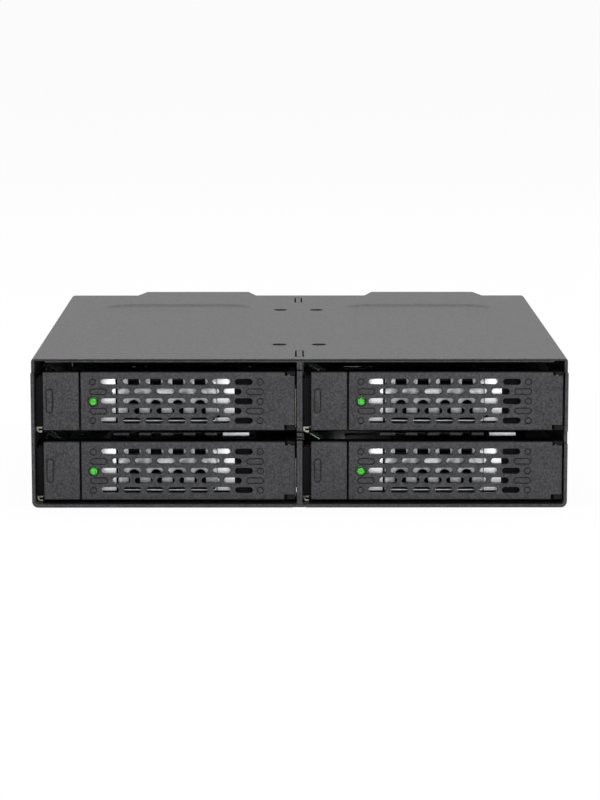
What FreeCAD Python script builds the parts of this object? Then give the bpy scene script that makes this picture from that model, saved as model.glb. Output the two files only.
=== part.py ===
import FreeCAD, Part
import math
import os
import Sketcher

# Hot swap drive cage for a half height bay: a folded steel housing with four pull-out trays.
# Row frame: origin on the underside, on the centreline, at the middle of the housing's length.
# +X is to the right seen from the front, +Y to the rear, +Z up, and the tray fronts face -Y.

doc = FreeCAD.newDocument("drive_cage")
sheet = doc.addObject("Spreadsheet::Sheet", "sizes")
NODES = []


class Size:
    """A length that carries its value and the sheet expression that it comes from."""

    def __init__(self, value, text):
        self.value = value
        self.text = text

    def __add__(self, other):
        other = as_size(other)
        return Size(self.value + other.value, f"({self.text} + {other.text})")

    def __sub__(self, other):
        other = as_size(other)
        return Size(self.value - other.value, f"({self.text} - {other.text})")

    def __mul__(self, other):
        other = as_size(other)
        return Size(self.value * other.value, f"({self.text} * {other.text})")

    def __truediv__(self, other):
        other = as_size(other)
        return Size(self.value / other.value, f"({self.text} / {other.text})")

    def __radd__(self, other):
        return as_size(other) + self

    def __rsub__(self, other):
        return as_size(other) - self

    def __rmul__(self, other):
        return as_size(other) * self

    def __neg__(self):
        return as_size(0) - self


def as_size(number):
    if isinstance(number, Size):
        return number
    return Size(float(number), f"({float(number)!r})")


def setting(alias, number):
    """One driving dimension: its own row of the sheet, with its name as the alias."""
    setting.row += 1
    sheet.set(f"A{setting.row}", alias)
    sheet.set(f"B{setting.row}", repr(number))
    sheet.setAlias(f"B{setting.row}", alias)
    return Size(float(number), f"sizes.{alias}")


setting.row = 0

# Housing
width = setting("overall_width", 146.0)
height = setting("overall_height", 41.0)
length = setting("housing_length", 148.0)
wall = setting("shell_sheet", 0.9)
bend = setting("shell_bend_radius", 1.7)
cover = setting("cover_sheet", 0.9)
cover_bend = setting("cover_bend_radius", 1.2)
flange = setting("cover_side_flange", 4.0)
corner_relief = setting("cover_corner_relief", 0.5)
divider = setting("divider_sheet", 0.75)
shelf = setting("shelf_sheet", 0.8)
shelf_setback = setting("shelf_setback", 4.0)

# Top cover
tab_reach = setting("fan_tab_reach", 10.0)
tab_base = setting("fan_tab_base", 38.0)
tab_tip = setting("fan_tab_tip", 33.0)
panel_inner = setting("panel_inner_edge", 14.0)
panel_outer = setting("panel_outer_edge", 60.6)
panel_front = setting("panel_from_front", 22.0)
panel_length = setting("panel_length", 103.0)
panel_corner = setting("panel_corner_radius", 9.0)
panel_depth = setting("panel_depth", 0.55)
panel_slope = setting("panel_slope_width", 2.4)
cover_screw_x = setting("cover_screw_offset", 5.55)
cover_screw_front = setting("cover_screw_from_front", 29.5)
cover_screw_pitch = setting("cover_screw_pitch", 80.3)
slot_width = setting("divider_slot_width", 2.4)
slot_length = setting("divider_slot_length", 12.8)
slot_front = setting("divider_slot_from_front", 4.2)
slot_rear = setting("divider_slot_rear_start", 129.0)
hem_seam = setting("hem_seam_height", 0.3)
hem_layer = setting("hem_top_layer", 0.25)
hem_half = setting("hem_half_width", 69.0)

# Fans
fan_size = setting("fan_size", 38.0)
fan_depth = setting("fan_depth", 10.0)
fan_bore = setting("fan_bore_radius", 17.6)
fan_hub = setting("fan_hub_radius", 7.6)
fan_pitch = setting("fan_screw_pitch", 32.0)
fan_shift = setting("fan_offset_from_bay", 3.9)
fan_gap = setting("fan_tip_gap", 0.6)

# Bays and trays
rail_gap = setting("tray_side_gap", 0.15)
floor_gap = setting("tray_floor_gap", 0.1)
row_pitch = setting("tray_row_pitch", 19.2)
face_setback = setting("face_setback", 0.4)
face_width = setting("face_width", 68.5)
face_height = setting("face_height", 15.9)
face_lift = setting("face_lift", 1.15)
face_side_gap = setting("face_side_gap", 0.47)
face_thick = setting("face_thickness", 2.0)
face_edge = setting("face_edge_radius", 0.35)
tray_sheet = setting("tray_sheet", 0.5)
tray_wall = setting("tray_wall_height", 12.0)
tray_bend = setting("tray_bend_radius", 1.1)
frame_front = setting("tray_frame_setback", 3.4)
drive_start = setting("drive_setback", 25.0)
drive_width = setting("drive_width", 69.85)
drive_length = setting("drive_length", 100.45)
drive_height = setting("drive_height", 15.0)
drive_hole_span = setting("drive_hole_span", 61.72)
drive_hole_pitch = setting("drive_hole_pitch", 76.6)
drive_hole_rear = setting("drive_hole_from_rear", 14.0)
drive_hole = setting("drive_hole_radius", 1.6)

# Lever, latch and vents
latch_width = setting("latch_width", 9.8)
seam = setting("latch_seam", 0.45)
latch_stroke = setting("latch_stroke", 1.8)
pivot_x = setting("pivot_from_edge", 1.7)
pivot_y = setting("pivot_depth", 1.4)
pin_radius = setting("pin_radius", 0.6)
pin_play = setting("pin_running_gap", 0.05)
vent_long = setting("vent_length", 4.9)
vent_tall = setting("vent_height", 1.75)
vent_row = setting("vent_row_pitch", 2.66)
vent_step = setting("vent_column_pitch", 6.08)
vent_odd = setting("vent_odd_start", 18.05)
vent_even = setting("vent_even_start", 21.1)
mark_depth = setting("mark_depth", 0.3)
light_x = setting("light_from_edge", 13.6)
light_radius = setting("light_radius", 1.4)
light_play = setting("light_hole_gap", 0.15)
pipe_radius = setting("light_pipe_radius", 0.9)
pipe_lift = setting("light_pipe_height", 16.6)

# Front plate behind the lever
plate_gap = setting("plate_gap", 0.6)
plate_sheet = setting("plate_sheet", 0.5)
plate_start = setting("plate_from_edge", 15.5)
plate_width = setting("plate_width", 36.3)
plate_tall = setting("plate_height", 16.1)
window_wide = setting("window_width", 2.9)
window_step = setting("window_pitch", 6.03)

# Backplane
board = setting("board_thickness", 1.6)
connector_reach = setting("connector_reach", 7.5)
connector_gap = setting("connector_gap", 0.5)
connector_wide = setting("connector_width", 42.4)
connector_tall = setting("connector_height", 5.1)
side_hole = setting("side_hole_radius", 1.5)
side_hole_front = setting("side_hole_from_front", 47.4)
side_hole_pitch = setting("side_hole_pitch", 79.25)
side_hole_low = setting("side_hole_low", 9.93)
side_hole_high = setting("side_hole_high", 21.84)

doc.recompute()

# Places that several pieces share
front = -(length / 2)
rear = length / 2
inner_x = width / 2 - wall
bay_inner = divider
bay_width = inner_x - bay_inner
bay_centre = (inner_x + bay_inner) / 2
cover_under = height - cover
shell_top = height - flange
tray_half = bay_width / 2 - rail_gap
tray_inner = tray_half - tray_sheet
face_right = bay_width / 2 - face_side_gap
face_left = face_right - face_width
face_top = face_lift + face_height
face_mid = face_lift + face_height / 2
latch_right = face_left + latch_width
lever_left = latch_right + seam
hinge_x = face_right - pivot_x
frame_end = drive_start + drive_length + 0.3
board_front = front + face_setback + drive_start + drive_length + connector_gap + connector_reach
board_rear = board_front + board
panel_face = rear - wall
fan_high = height / 2 - 0.2
shelf_top = wall + row_pitch


def plane_of(body, role):
    return [item for item in body.Origin.OriginFeatures if item.Role == role][0]


def body_of(label, node=True):
    body = doc.addObject("PartDesign::Body", label)
    body.Label = label
    if node:
        NODES.append(body)
    return body


def place(thing, x=0, y=0, z=0):
    """Binds the placement of a piece to the sheet."""
    for axis, size in (("x", x), ("y", y), ("z", z)):
        thing.setExpression(f".Placement.Base.{axis}", as_size(size).text)


class Outline:
    """A fully constrained sketch on one of the body's own planes, bound to the sheet."""

    def __init__(self, body, plane, level):
        self.body = body
        self.sketch = body.newObject("Sketcher::SketchObject", body.Name + "_sketch")
        self.sketch.AttachmentSupport = [(plane_of(body, plane), "")]
        self.sketch.MapMode = "FlatFace"
        self.sketch.setExpression(".AttachmentOffset.Base.z", as_size(level).text)

    def _bind(self, kind, geometry, point, size):
        size = as_size(size)
        index = self.sketch.addConstraint(Sketcher.Constraint(kind, -1, 1, geometry, point, size.value))
        self.sketch.setExpression(f"Constraints[{index}]", size.text)

    def _radius(self, geometry, size):
        size = as_size(size)
        index = self.sketch.addConstraint(Sketcher.Constraint("Radius", geometry, size.value))
        self.sketch.setExpression(f"Constraints[{index}]", size.text)

    def polygon(self, corners):
        corners = [(as_size(x), as_size(y)) for x, y in corners]
        points = [FreeCAD.Vector(x.value, y.value, 0) for x, y in corners]
        total = len(points)
        first = self.sketch.GeometryCount
        self.sketch.addGeometry([Part.LineSegment(points[i], points[(i + 1) % total]) for i in range(total)], False)
        for i in range(total):
            self.sketch.addConstraint(Sketcher.Constraint("Coincident", first + i, 2, first + (i + 1) % total, 1))
        for i, (x, y) in enumerate(corners):
            self._bind("DistanceX", first + i, 1, x)
            self._bind("DistanceY", first + i, 1, y)
        return self

    def box(self, x0, y0, x1, y1):
        return self.polygon([(x0, y0), (x1, y0), (x1, y1), (x0, y1)])

    def circle(self, x, y, radius):
        x, y, radius = as_size(x), as_size(y), as_size(radius)
        centre = FreeCAD.Vector(x.value, y.value, 0)
        ring = self.sketch.addGeometry(Part.Circle(centre, FreeCAD.Vector(0, 0, 1), radius.value), False)
        self._bind("DistanceX", ring, 3, x)
        self._bind("DistanceY", ring, 3, y)
        self._radius(ring, radius)
        return self

    def slot(self, x, y, long, tall, upright=False):
        """An oblong with round ends about its centre, lying along X or upright."""
        x, y, radius = as_size(x), as_size(y), as_size(tall) / 2
        half = as_size(long) / 2 - radius
        turn = math.pi / 2 if upright else 0.0
        along = FreeCAD.Vector(math.cos(turn), math.sin(turn), 0)
        across = FreeCAD.Vector(-math.sin(turn), math.cos(turn), 0)
        centre = FreeCAD.Vector(x.value, y.value, 0)
        ends = (centre + along * half.value, centre - along * half.value)
        up = FreeCAD.Vector(0, 0, 1)
        side = across * radius.value
        first = self.sketch.GeometryCount
        arcs = [Part.ArcOfCircle(Part.Circle(ends[0], up, radius.value), turn - math.pi / 2, turn + math.pi / 2),
                Part.ArcOfCircle(Part.Circle(ends[1], up, radius.value), turn + math.pi / 2, turn + 3 * math.pi / 2)]
        lines = [Part.LineSegment(ends[0] + side, ends[1] + side), Part.LineSegment(ends[1] - side, ends[0] - side)]
        self.sketch.addGeometry([arcs[0], lines[0], arcs[1], lines[1]], False)
        for i in range(4):
            self.sketch.addConstraint(Sketcher.Constraint("Tangent", first + i, 2, first + (i + 1) % 4, 1))
        self.sketch.addConstraint(Sketcher.Constraint("Vertical" if upright else "Horizontal", first + 1))
        self.sketch.addConstraint(Sketcher.Constraint("Equal", first, first + 2))
        step_x, step_y = (0, half) if upright else (half, 0)
        self._bind("DistanceX", first, 3, x + step_x)
        self._bind("DistanceY", first, 3, y + step_y)
        self._bind("DistanceY" if upright else "DistanceX", first + 2, 3, (y if upright else x) - half)
        self._radius(first, radius)
        return self

    def rounded(self, x0, y0, x1, y1, radius):
        """A rectangle with round corners."""
        x0, y0, x1, y1, radius = (as_size(size) for size in (x0, y0, x1, y1, radius))
        left, low, right, high, r = x0.value, y0.value, x1.value, y1.value, radius.value
        up = FreeCAD.Vector(0, 0, 1)
        first = self.sketch.GeometryCount
        corners = ((right - r, low + r, -0.5), (right - r, high - r, 0.0), (left + r, high - r, 0.5),
                   (left + r, low + r, 1.0))
        arcs = []
        for x, y, start in corners:
            circle = Part.Circle(FreeCAD.Vector(x, y, 0), up, r)
            arcs.append(Part.ArcOfCircle(circle, start * math.pi, (start + 0.5) * math.pi))
        geometry = []
        for i in range(4):
            geometry.append(arcs[i])
            geometry.append(Part.LineSegment(arcs[i].EndPoint, arcs[(i + 1) % 4].StartPoint))
        self.sketch.addGeometry(geometry, False)
        for i in range(8):
            self.sketch.addConstraint(Sketcher.Constraint("Tangent", first + i, 2, first + (i + 1) % 8, 1))
        for line, kind in ((1, "Vertical"), (3, "Horizontal"), (5, "Vertical")):
            self.sketch.addConstraint(Sketcher.Constraint(kind, first + line))
        self.sketch.addConstraint(Sketcher.Constraint("Horizontal", first + 7))
        for arc in (2, 4, 6):
            self.sketch.addConstraint(Sketcher.Constraint("Equal", first, first + arc))
        self._bind("DistanceX", first + 1, 1, x1)
        self._bind("DistanceY", first + 3, 1, y1)
        self._bind("DistanceX", first + 5, 1, x0)
        self._bind("DistanceY", first + 7, 1, y0)
        self._radius(first, radius)
        return self

    def grow(self, kind, size=None, through=False):
        feature = self.body.newObject(f"PartDesign::{kind}", f"{self.body.Name}_{kind.lower()}")
        feature.Profile = self.sketch
        if through:
            feature.Type = "ThroughAll"
        elif size is not None:
            feature.setExpression("Length", as_size(size).text)
        self.body.Tip = feature
        return feature


def level_for(plane, low, high, kind):
    """Where the sketch lies so that its feature fills low to high along the plane's axis."""
    if plane == "XZ_Plane":
        return -as_size(high) if kind == "Pad" else -as_size(low)
    return as_size(low) if kind == "Pad" else as_size(high)


def slab(body, plane, low, high, draw):
    """Adds the drawn outline from low to high along the plane's axis."""
    outline = Outline(body, plane, level_for(plane, low, high, "Pad"))
    draw(outline)
    return outline.grow("Pad", as_size(high) - low)


def cut(body, plane, low, high, draw):
    """Removes the drawn outline from low to high along the plane's axis."""
    outline = Outline(body, plane, level_for(plane, low, high, "Pocket"))
    draw(outline)
    return outline.grow("Pocket", as_size(high) - low)


def edges_where(feature, test):
    """Names of the edges whose two ends and middle all pass the test."""
    names = []
    for index, edge in enumerate(feature.Shape.Edges, 1):
        middle = edge.valueAt((edge.FirstParameter + edge.LastParameter) / 2)
        if all(test(point) for point in (edge.Vertexes[0].Point, edge.Vertexes[-1].Point, middle)):
            names.append(f"Edge{index}")
    return names


def dress(body, kind, size, test):
    """Rounds or chamfers the edges of the body's tip that pass the test."""
    doc.recompute()
    base = body.Tip
    names = edges_where(base, test)
    if not names:
        raise RuntimeError(f"no edge to {kind} on {body.Label}")
    feature = body.newObject(f"PartDesign::{kind}", f"{body.Name}_{kind.lower()}")
    feature.Base = (base, names)
    feature.setExpression("Radius" if kind == "Fillet" else "Size", as_size(size).text)
    body.Tip = feature
    return feature


def repeat(body, features, axis, count, pitch):
    """Repeats features along one of the body's own axes."""
    pattern = body.newObject("PartDesign::LinearPattern", f"{body.Name}_row")
    pattern.Originals = features
    pattern.Direction = (plane_of(body, axis), [""])
    pattern.Mode = "Extent"
    pattern.setExpression("Length", (as_size(pitch) * (count - 1)).text)
    pattern.Occurrences = count
    body.Tip = pattern
    return pattern


def loft(body, kind, plane, sections):
    """Lofts between outlines at several levels."""
    outlines = []
    for level, draw in sections:
        outline = Outline(body, plane, level)
        draw(outline)
        outlines.append(outline.sketch)
    feature = body.newObject(f"PartDesign::{kind}", f"{body.Name}_loft")
    feature.Profile = outlines[0]
    feature.Sections = outlines[1:]
    feature.Ruled = True
    body.Tip = feature
    return feature


def copy_of(original, label, node=True):
    """Another piece of the same pattern, in a body of its own."""
    body = body_of(label, node)
    base = body.newObject("PartDesign::FeatureBase", f"{label}_base")
    base.BaseFeature = original
    body.Tip = base
    return body


def group_of(pattern, label, places):
    """Like pieces in one node: a copy of the pattern piece at each place."""
    pieces = []
    for number, (x, y, z) in enumerate(places, 1):
        piece = pattern if number == 1 else copy_of(pattern, f"{label}_{number}", node=False)
        place(piece, x, y, z)
        pieces.append(piece)
    group = doc.addObject("Part::Compound", label)
    group.Label = label
    group.Links = pieces
    NODES.append(group)
    return group


def near(value, size):
    return abs(value - as_size(size).value) < 0.02


def fastener(name, plane, facing, head_radius, head_height, shank_radius, shank_length, socket=True):
    """A screw or rivet whose head faces along the plane's axis, seated at the origin."""
    piece = body_of(name, node=False)
    head_low, head_high = sorted((0.0, facing * head_height))
    shank = as_size(shank_length)
    slab(piece, plane, head_low, head_high, lambda s: s.circle(0, 0, head_radius))
    if facing > 0:
        slab(piece, plane, -shank, 0, lambda s: s.circle(0, 0, shank_radius))
    else:
        slab(piece, plane, 0, shank, lambda s: s.circle(0, 0, shank_radius))
    if socket:
        half = head_radius * 0.36
        deep = head_height * 0.6
        low, high = (head_high - deep, head_high) if facing > 0 else (head_low, head_low + deep)
        cut(piece, plane, low, high, lambda s: s.polygon([
            (half * math.cos(math.radians(60 * i)), half * math.sin(math.radians(60 * i))) for i in range(6)]))
    return piece


# Base shell: one sheet folded up at both sides, with the bay's standard side holes
shell = body_of("base_shell")
slab(shell, "XZ_Plane", front, rear, lambda s: s.polygon([
    (-(width / 2), 0), (width / 2, 0), (width / 2, shell_top), (inner_x, shell_top),
    (inner_x, wall), (-inner_x, wall), (-inner_x, shell_top), (-(width / 2), shell_top)]))
dress(shell, "Fillet", bend, lambda p: near(p.z, 0) and near(abs(p.x), width / 2))
dress(shell, "Fillet", bend - wall, lambda p: near(p.z, wall) and near(abs(p.x), inner_x))
hole_start = front + side_hole_front
side_holes = cut(shell, "YZ_Plane", -(width / 2) - 1, width / 2 + 1, lambda s: [
    s.circle(hole_start + side_hole_pitch * step, high, side_hole)
    for step in (0, 1) for high in (side_hole_low, side_hole_high)])
rivet_places = [(panel_face - 3.5, as_size(high)) for high in (10.0, 31.0)]
cut(shell, "YZ_Plane", -(width / 2) - 1, width / 2 + 1, lambda s: [s.circle(y, z, 2.25) for y, z in rivet_places])
notch_half = as_size(1.7)
cut(shell, "XY_Plane", -1, wall, lambda s: [
    s.box(-notch_half, front - 1, notch_half, front + 2.5),
    s.box(-(divider + 0.1), front + slot_front + 14, divider + 0.1, front + slot_front + 26),
    s.box(-(divider + 0.1), front + slot_rear - 26, divider + 0.1, front + slot_rear - 14)])
cut(shell, "XZ_Plane", front - 1, front + 1.3, lambda s: [
    s.box(inner_x - 0.1, shelf_top - 2.6, width / 2 + 1, shelf_top + 0.9)])

# Top cover: the lid sheet with folded side flanges, two sunk stiffening panels and two fan tabs
lid = body_of("top_cover")
slab(lid, "XZ_Plane", front, rear, lambda s: s.polygon([
    (-(width / 2), height), (-(width / 2), shell_top), (-inner_x, shell_top), (-inner_x, cover_under),
    (inner_x, cover_under), (inner_x, shell_top), (width / 2, shell_top), (width / 2, height)]))
dress(lid, "Fillet", cover_bend, lambda p: near(p.z, height) and near(abs(p.x), width / 2))
for side in (-1, 1):
    tab_centre = side * bay_centre + fan_shift
    slab(lid, "XY_Plane", cover_under, height, lambda s: s.polygon([
        (tab_centre - tab_base / 2, rear - 1), (tab_centre + tab_base / 2, rear - 1),
        (tab_centre + tab_base / 2, rear), (tab_centre + tab_tip / 2, rear + tab_reach),
        (tab_centre - tab_tip / 2, rear + tab_reach), (tab_centre - tab_base / 2, rear)]))
    panel_low = side * (panel_inner + panel_outer) / 2 - (panel_outer - panel_inner) / 2
    panel_high = panel_low + panel_outer - panel_inner
    sunk = (panel_low + panel_slope, front + panel_front + panel_slope, panel_high - panel_slope,
            front + panel_front + panel_length - panel_slope)
    rim = (panel_low, front + panel_front, panel_high, front + panel_front + panel_length)
    loft(lid, "AdditiveLoft", "XY_Plane", [
        (cover_under + 0.02, lambda s: s.rounded(*rim, panel_corner)),
        (cover_under - panel_depth, lambda s: s.rounded(*sunk, panel_corner - panel_slope))])
    loft(lid, "SubtractiveLoft", "XY_Plane", [
        (height + 0.02, lambda s: s.rounded(*rim, panel_corner)),
        (height - panel_depth, lambda s: s.rounded(*sunk, panel_corner - panel_slope))])
cut(lid, "XY_Plane", shell_top - 1, cover_under - 0.05, lambda s: [
    s.box(inner_x - 1, front - 1, width / 2 + 1, front + corner_relief),
    s.box(-(width / 2) - 1, front - 1, -inner_x + 1, front + corner_relief)])
cut(lid, "XZ_Plane", front - 1, front + 0.6, lambda s: s.box(
    -hem_half, height - hem_layer - hem_seam, hem_half, height - hem_layer))
cut(lid, "XZ_Plane", front - 1, front + 2.5, lambda s: [
    s.box(hem_half, shell_top - 1, width / 2 + 1, height - hem_layer),
    s.box(-(width / 2) - 1, shell_top - 1, -hem_half, height - hem_layer)])
screw_places = [(side * cover_screw_x, front + cover_screw_front + cover_screw_pitch * step)
                for side in (-1, 1) for step in (0, 1)]
cut(lid, "XY_Plane", cover_under - 1, height + 1, lambda s: [s.circle(x, y, 1.6) for x, y in screw_places])
dress(lid, "Chamfer", 0.65, lambda p: near(p.z, height) and abs(abs(p.x) - cover_screw_x.value) < 1.7
      and any(abs(math.hypot(p.x - x.value, p.y - y.value) - 1.6) < 0.02 for x, y in screw_places))
cut(lid, "XY_Plane", cover_under - 1, height + 1, lambda s: [
    s.box(-(slot_width / 2), front + start, slot_width / 2, front + start + slot_length)
    for start in (slot_front, slot_rear)])

# Centre divider: two back to back sheets, each with a top flange for the lid's screws and an arm over the board
divider_end = board_front - 1.2
arm_low = cover_under - 3.4
for name, side in (("divider_left", -1), ("divider_right", 1)):
    sheet_side = body_of(name)
    near_x, far_x = sorted((side * divider, as_size(0)), key=lambda size: size.value)
    slab(sheet_side, "YZ_Plane", near_x, far_x, lambda s: s.polygon([
        (front, wall), (divider_end, wall), (divider_end, arm_low), (panel_face - 0.2, arm_low),
        (panel_face - 0.2, cover_under), (front, cover_under)]))
    for start in (slot_front, slot_rear):
        slab(sheet_side, "YZ_Plane", near_x, far_x, lambda s: s.box(
            front + start + 0.4, cover_under - 1, front + start + slot_length - 0.4, height))
    flange_low, flange_high = sorted((side * divider, side * as_size(10)), key=lambda size: size.value)
    slab(sheet_side, "XY_Plane", cover_under - divider, cover_under, lambda s: s.box(
        flange_low, front + 22, flange_high, divider_end))
    cut(sheet_side, "XY_Plane", arm_low, cover_under, lambda s: [
        s.circle(side * cover_screw_x, front + cover_screw_front + cover_screw_pitch * step, 1.25)
        for step in (0, 1)])
    cut(sheet_side, "XZ_Plane", front - 1, front + 2.5, lambda s: [
        s.box(-1, low, 1, low + 0.6) for low in (shelf_top - 1.7, shelf_top + 0.5, shell_top + 0.6)])
    cut(sheet_side, "YZ_Plane", near_x - 0.1, far_x + 0.1, lambda s: s.polygon([
        (front - 1, shelf_top - 0.8), (front + shelf_setback + 2, shelf_top - 0.8),
        (front + shelf_setback + 2, shelf_top - 0.4), (front - 1, shelf_top - 0.4)]))

# Shelves: the floor of each upper bay, lightened by two windows
shelf_end = divider_end - 1
for name, side in (("shelf_left", -1), ("shelf_right", 1)):
    tray_shelf = body_of(name)
    low_x, high_x = sorted((side * bay_inner, side * inner_x), key=lambda size: size.value)
    shelf_start = front + shelf_setback
    slab(tray_shelf, "XY_Plane", shelf_top - shelf, shelf_top, lambda s: s.box(low_x, shelf_start, high_x, shelf_end))
    window_end = (shelf_start + shelf_end) / 2
    cut(tray_shelf, "XY_Plane", shelf_top - shelf - 1, shelf_top + 1, lambda s: [
        s.rounded(low_x + 12, shelf_start + 14, high_x - 12, window_end - 5, 4),
        s.rounded(low_x + 12, window_end + 5, high_x - 12, shelf_end - 10, 4)])

# Rear panel: carries both fans, the board's standoffs and the openings for its plugs
panel = body_of("rear_panel")
seat_round = bend - wall + 0.1
port_left, port_right = -bay_centre + fan_shift + fan_size / 2 + 1.2, bay_centre + fan_shift - fan_size / 2 - 1.2
power_left, power_right = -inner_x + 2.2, -bay_centre + fan_shift - fan_size / 2 - 1.2
slab(panel, "XZ_Plane", panel_face, rear, lambda s: s.box(-inner_x, wall, inner_x, cover_under))
dress(panel, "Fillet", seat_round, lambda p: near(p.z, wall) and near(abs(p.x), inner_x))
for side in (-1, 1):
    flange_low, flange_high = sorted((side * inner_x, side * (inner_x - wall)), key=lambda size: size.value)
    slab(panel, "XY_Plane", wall + 0.8, shell_top - 1, lambda s: s.box(
        flange_low, panel_face - 7, flange_high, panel_face + 0.1))
cut(panel, "YZ_Plane", -inner_x - 1, inner_x + 1, lambda s: [s.circle(y, z, 1.25) for y, z in rivet_places])
fan_places = [side * bay_centre + fan_shift for side in (-1, 1)]
cut(panel, "XZ_Plane", panel_face - 1, rear + 1, lambda s: [
    s.circle(x, fan_high, fan_bore - 0.4) for x in fan_places])
cut(panel, "XZ_Plane", panel_face - 1, rear + 1, lambda s: [
    s.circle(x + i * fan_pitch / 2, fan_high + j * fan_pitch / 2, 1.5)
    for x in fan_places for i in (-1, 1) for j in (-1, 1)])
cut(panel, "XZ_Plane", panel_face - 1, rear + 1, lambda s: [
    s.rounded(port_left, 6, port_right, 35, 1.5), s.rounded(power_left, 6, power_right, 35, 1.5)])

# Backplane board with its air windows
circuit = body_of("backplane_board")
board_half = inner_x - 1.2
board_low, board_high = wall + 0.6, cover_under - 1.7
connector_x = 4.0
connector_low = floor_gap + wall + tray_sheet + 1.0
standoff_places = [(side * (inner_x - 3.9), high) for side in (-1, 1) for high in (wall + 2.9, arm_low - 3.1)]
slab(circuit, "XZ_Plane", board_front, board_rear, lambda s: s.box(-board_half, board_low, board_half, board_high))
cut(circuit, "XZ_Plane", board_front - 1, board_rear + 1, lambda s: [
    s.rounded(side * bay_centre + fan_shift * 0.5 - 25, low, side * bay_centre + fan_shift * 0.5 + 22, high, 1.5)
    for side in (-1, 1)
    for low, high in ((connector_low + connector_tall + 1.5, shelf_top - 0.3),
                      (connector_low + row_pitch + connector_tall + 1.5, arm_low - 2.6))])

cut(circuit, "XZ_Plane", board_front - 1, board_rear + 1, lambda s: [
    s.circle(x, z, 1.5) for x, z in standoff_places])
cut(circuit, "XZ_Plane", board_front - 1, board_rear + 1, lambda s: s.box(
    -(divider + 0.6), arm_low - 0.4, divider + 0.6, board_high + 1))

# Drive connectors: one receptacle per tray on the board's face, with a data slot and a power slot
receptacle = None
for row, row_name in ((0, "lower"), (1, "upper")):
    for column, column_name in ((-1, "left"), (1, "right")):
        label = f"drive_connector_{row_name}_{column_name}"
        if receptacle is None:
            receptacle = body_of(label)
            slab(receptacle, "XZ_Plane", -connector_reach, 0, lambda s: s.box(
                -(connector_wide / 2), 0, connector_wide / 2, connector_tall))
            cut(receptacle, "XZ_Plane", -connector_reach - 1, -1.5, lambda s: [
                s.polygon([(-18.6, 1.4), (-7.6, 1.4), (-7.6, 3.6), (-8.8, 3.6), (-8.8, 2.6), (-18.6, 2.6)]),
                s.polygon([(-5.2, 1.4), (16.6, 1.4), (16.6, 3.6), (15.4, 3.6), (15.4, 2.6), (-5.2, 2.6)])])
            piece = receptacle
        else:
            piece = copy_of(receptacle, label)
        place(piece, column * bay_centre - connector_x, board_front, connector_low + row * row_pitch)

# Status lamps on the board, behind the end of each tray's light pipe
lamp = body_of("status_lamp", node=False)
slab(lamp, "XZ_Plane", -0.9, 0, lambda s: s.box(-1.0, -0.7, 1.0, 0.7))
pipe_x = -tray_inner + pipe_radius + 0.05
tray_floor = wall + floor_gap
group_of(lamp, "status_lamps", [
    (column * bay_centre + pipe_x + 1.0, board_front, tray_floor + row * row_pitch + pipe_lift)
    for row in (0, 1) for column in (-1, 1)])

# Plug sockets on the back of the board, reaching to the rear panel's openings
port_reach = rear - board_rear
port_high = height / 2


def plug_socket(name, half_wide, half_tall):
    """An upright shrouded socket with the edge tongue inside, its mouth to the rear."""
    socket = body_of(name, node=False)
    slab(socket, "XZ_Plane", 0, port_reach, lambda s: s.box(-half_wide, -half_tall, half_wide, half_tall))
    cut(socket, "XZ_Plane", 2, port_reach + 1, lambda s: s.box(
        0.7 - half_wide, 0.7 - half_tall, half_wide - 0.7, half_tall - 0.7))
    tongue = half_tall - 1.7
    slab(socket, "XZ_Plane", 1.5, port_reach - 1.5, lambda s: s.polygon([
        (-0.1, -tongue), (1.0, -tongue), (1.0, tongue), (-1.2, tongue), (-1.2, tongue - 1.1), (-0.1, tongue - 1.1)]))
    return socket


port_centre = (port_left + port_right) / 2
group_of(plug_socket("data_port", 2.4, 6.8), "data_ports", [
    (port_centre + column * 6.0, board_rear, port_high + row * 7.1)
    for row in (-1, 1) for column in (-1, 1)])
group_of(plug_socket("power_port", 2.7, 12.4), "power_ports", [
    (power_right - 3.3 - 6.6 * step, board_rear, port_high) for step in (0, 1)])

# Hexagonal standoffs that hold the board off the rear panel, and the screws in their front ends
standoff = body_of("standoff", node=False)
hex_radius = 2.6
slab(standoff, "XZ_Plane", 0, panel_face - board_rear, lambda s: s.polygon([
    (hex_radius * math.cos(math.radians(60 * i)), hex_radius * math.sin(math.radians(60 * i))) for i in range(6)]))
group_of(standoff, "board_standoffs", [(x, board_rear, z) for x, z in standoff_places])
group_of(fastener("board_screw", "XZ_Plane", -1, 2.4, 1.3, 1.4, board), "board_screws", [
    (x, board_front, z) for x, z in standoff_places])

# Flat head screws of the lid, seated in its dimples and threaded into the dividers' flanges
lid_screw = body_of("lid_screw", node=False)
loft(lid_screw, "AdditiveLoft", "XY_Plane", [
    (-0.7, lambda s: s.circle(0, 0, 1.5)), (-0.05, lambda s: s.circle(0, 0, 2.15))])
slab(lid_screw, "XY_Plane", -3.2, -0.69, lambda s: s.circle(0, 0, 1.2))
cut(lid_screw, "XY_Plane", -0.6, 0, lambda s: s.polygon([
    (0.8 * math.cos(math.radians(60 * i)), 0.8 * math.sin(math.radians(60 * i))) for i in range(6)]))
group_of(lid_screw, "cover_screws", [(x, y, height) for x, y in screw_places])

# Flush rivets that tie the rear panel's side flanges to the shell
for name, side in (("left", -1), ("right", 1)):
    rivet = fastener(f"rivet_{name}", "YZ_Plane", side, 2.2, wall.value, 1.2, wall, socket=False)
    group_of(rivet, f"panel_rivets_{name}", [(side * inner_x, y, z) for y, z in rivet_places])

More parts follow.
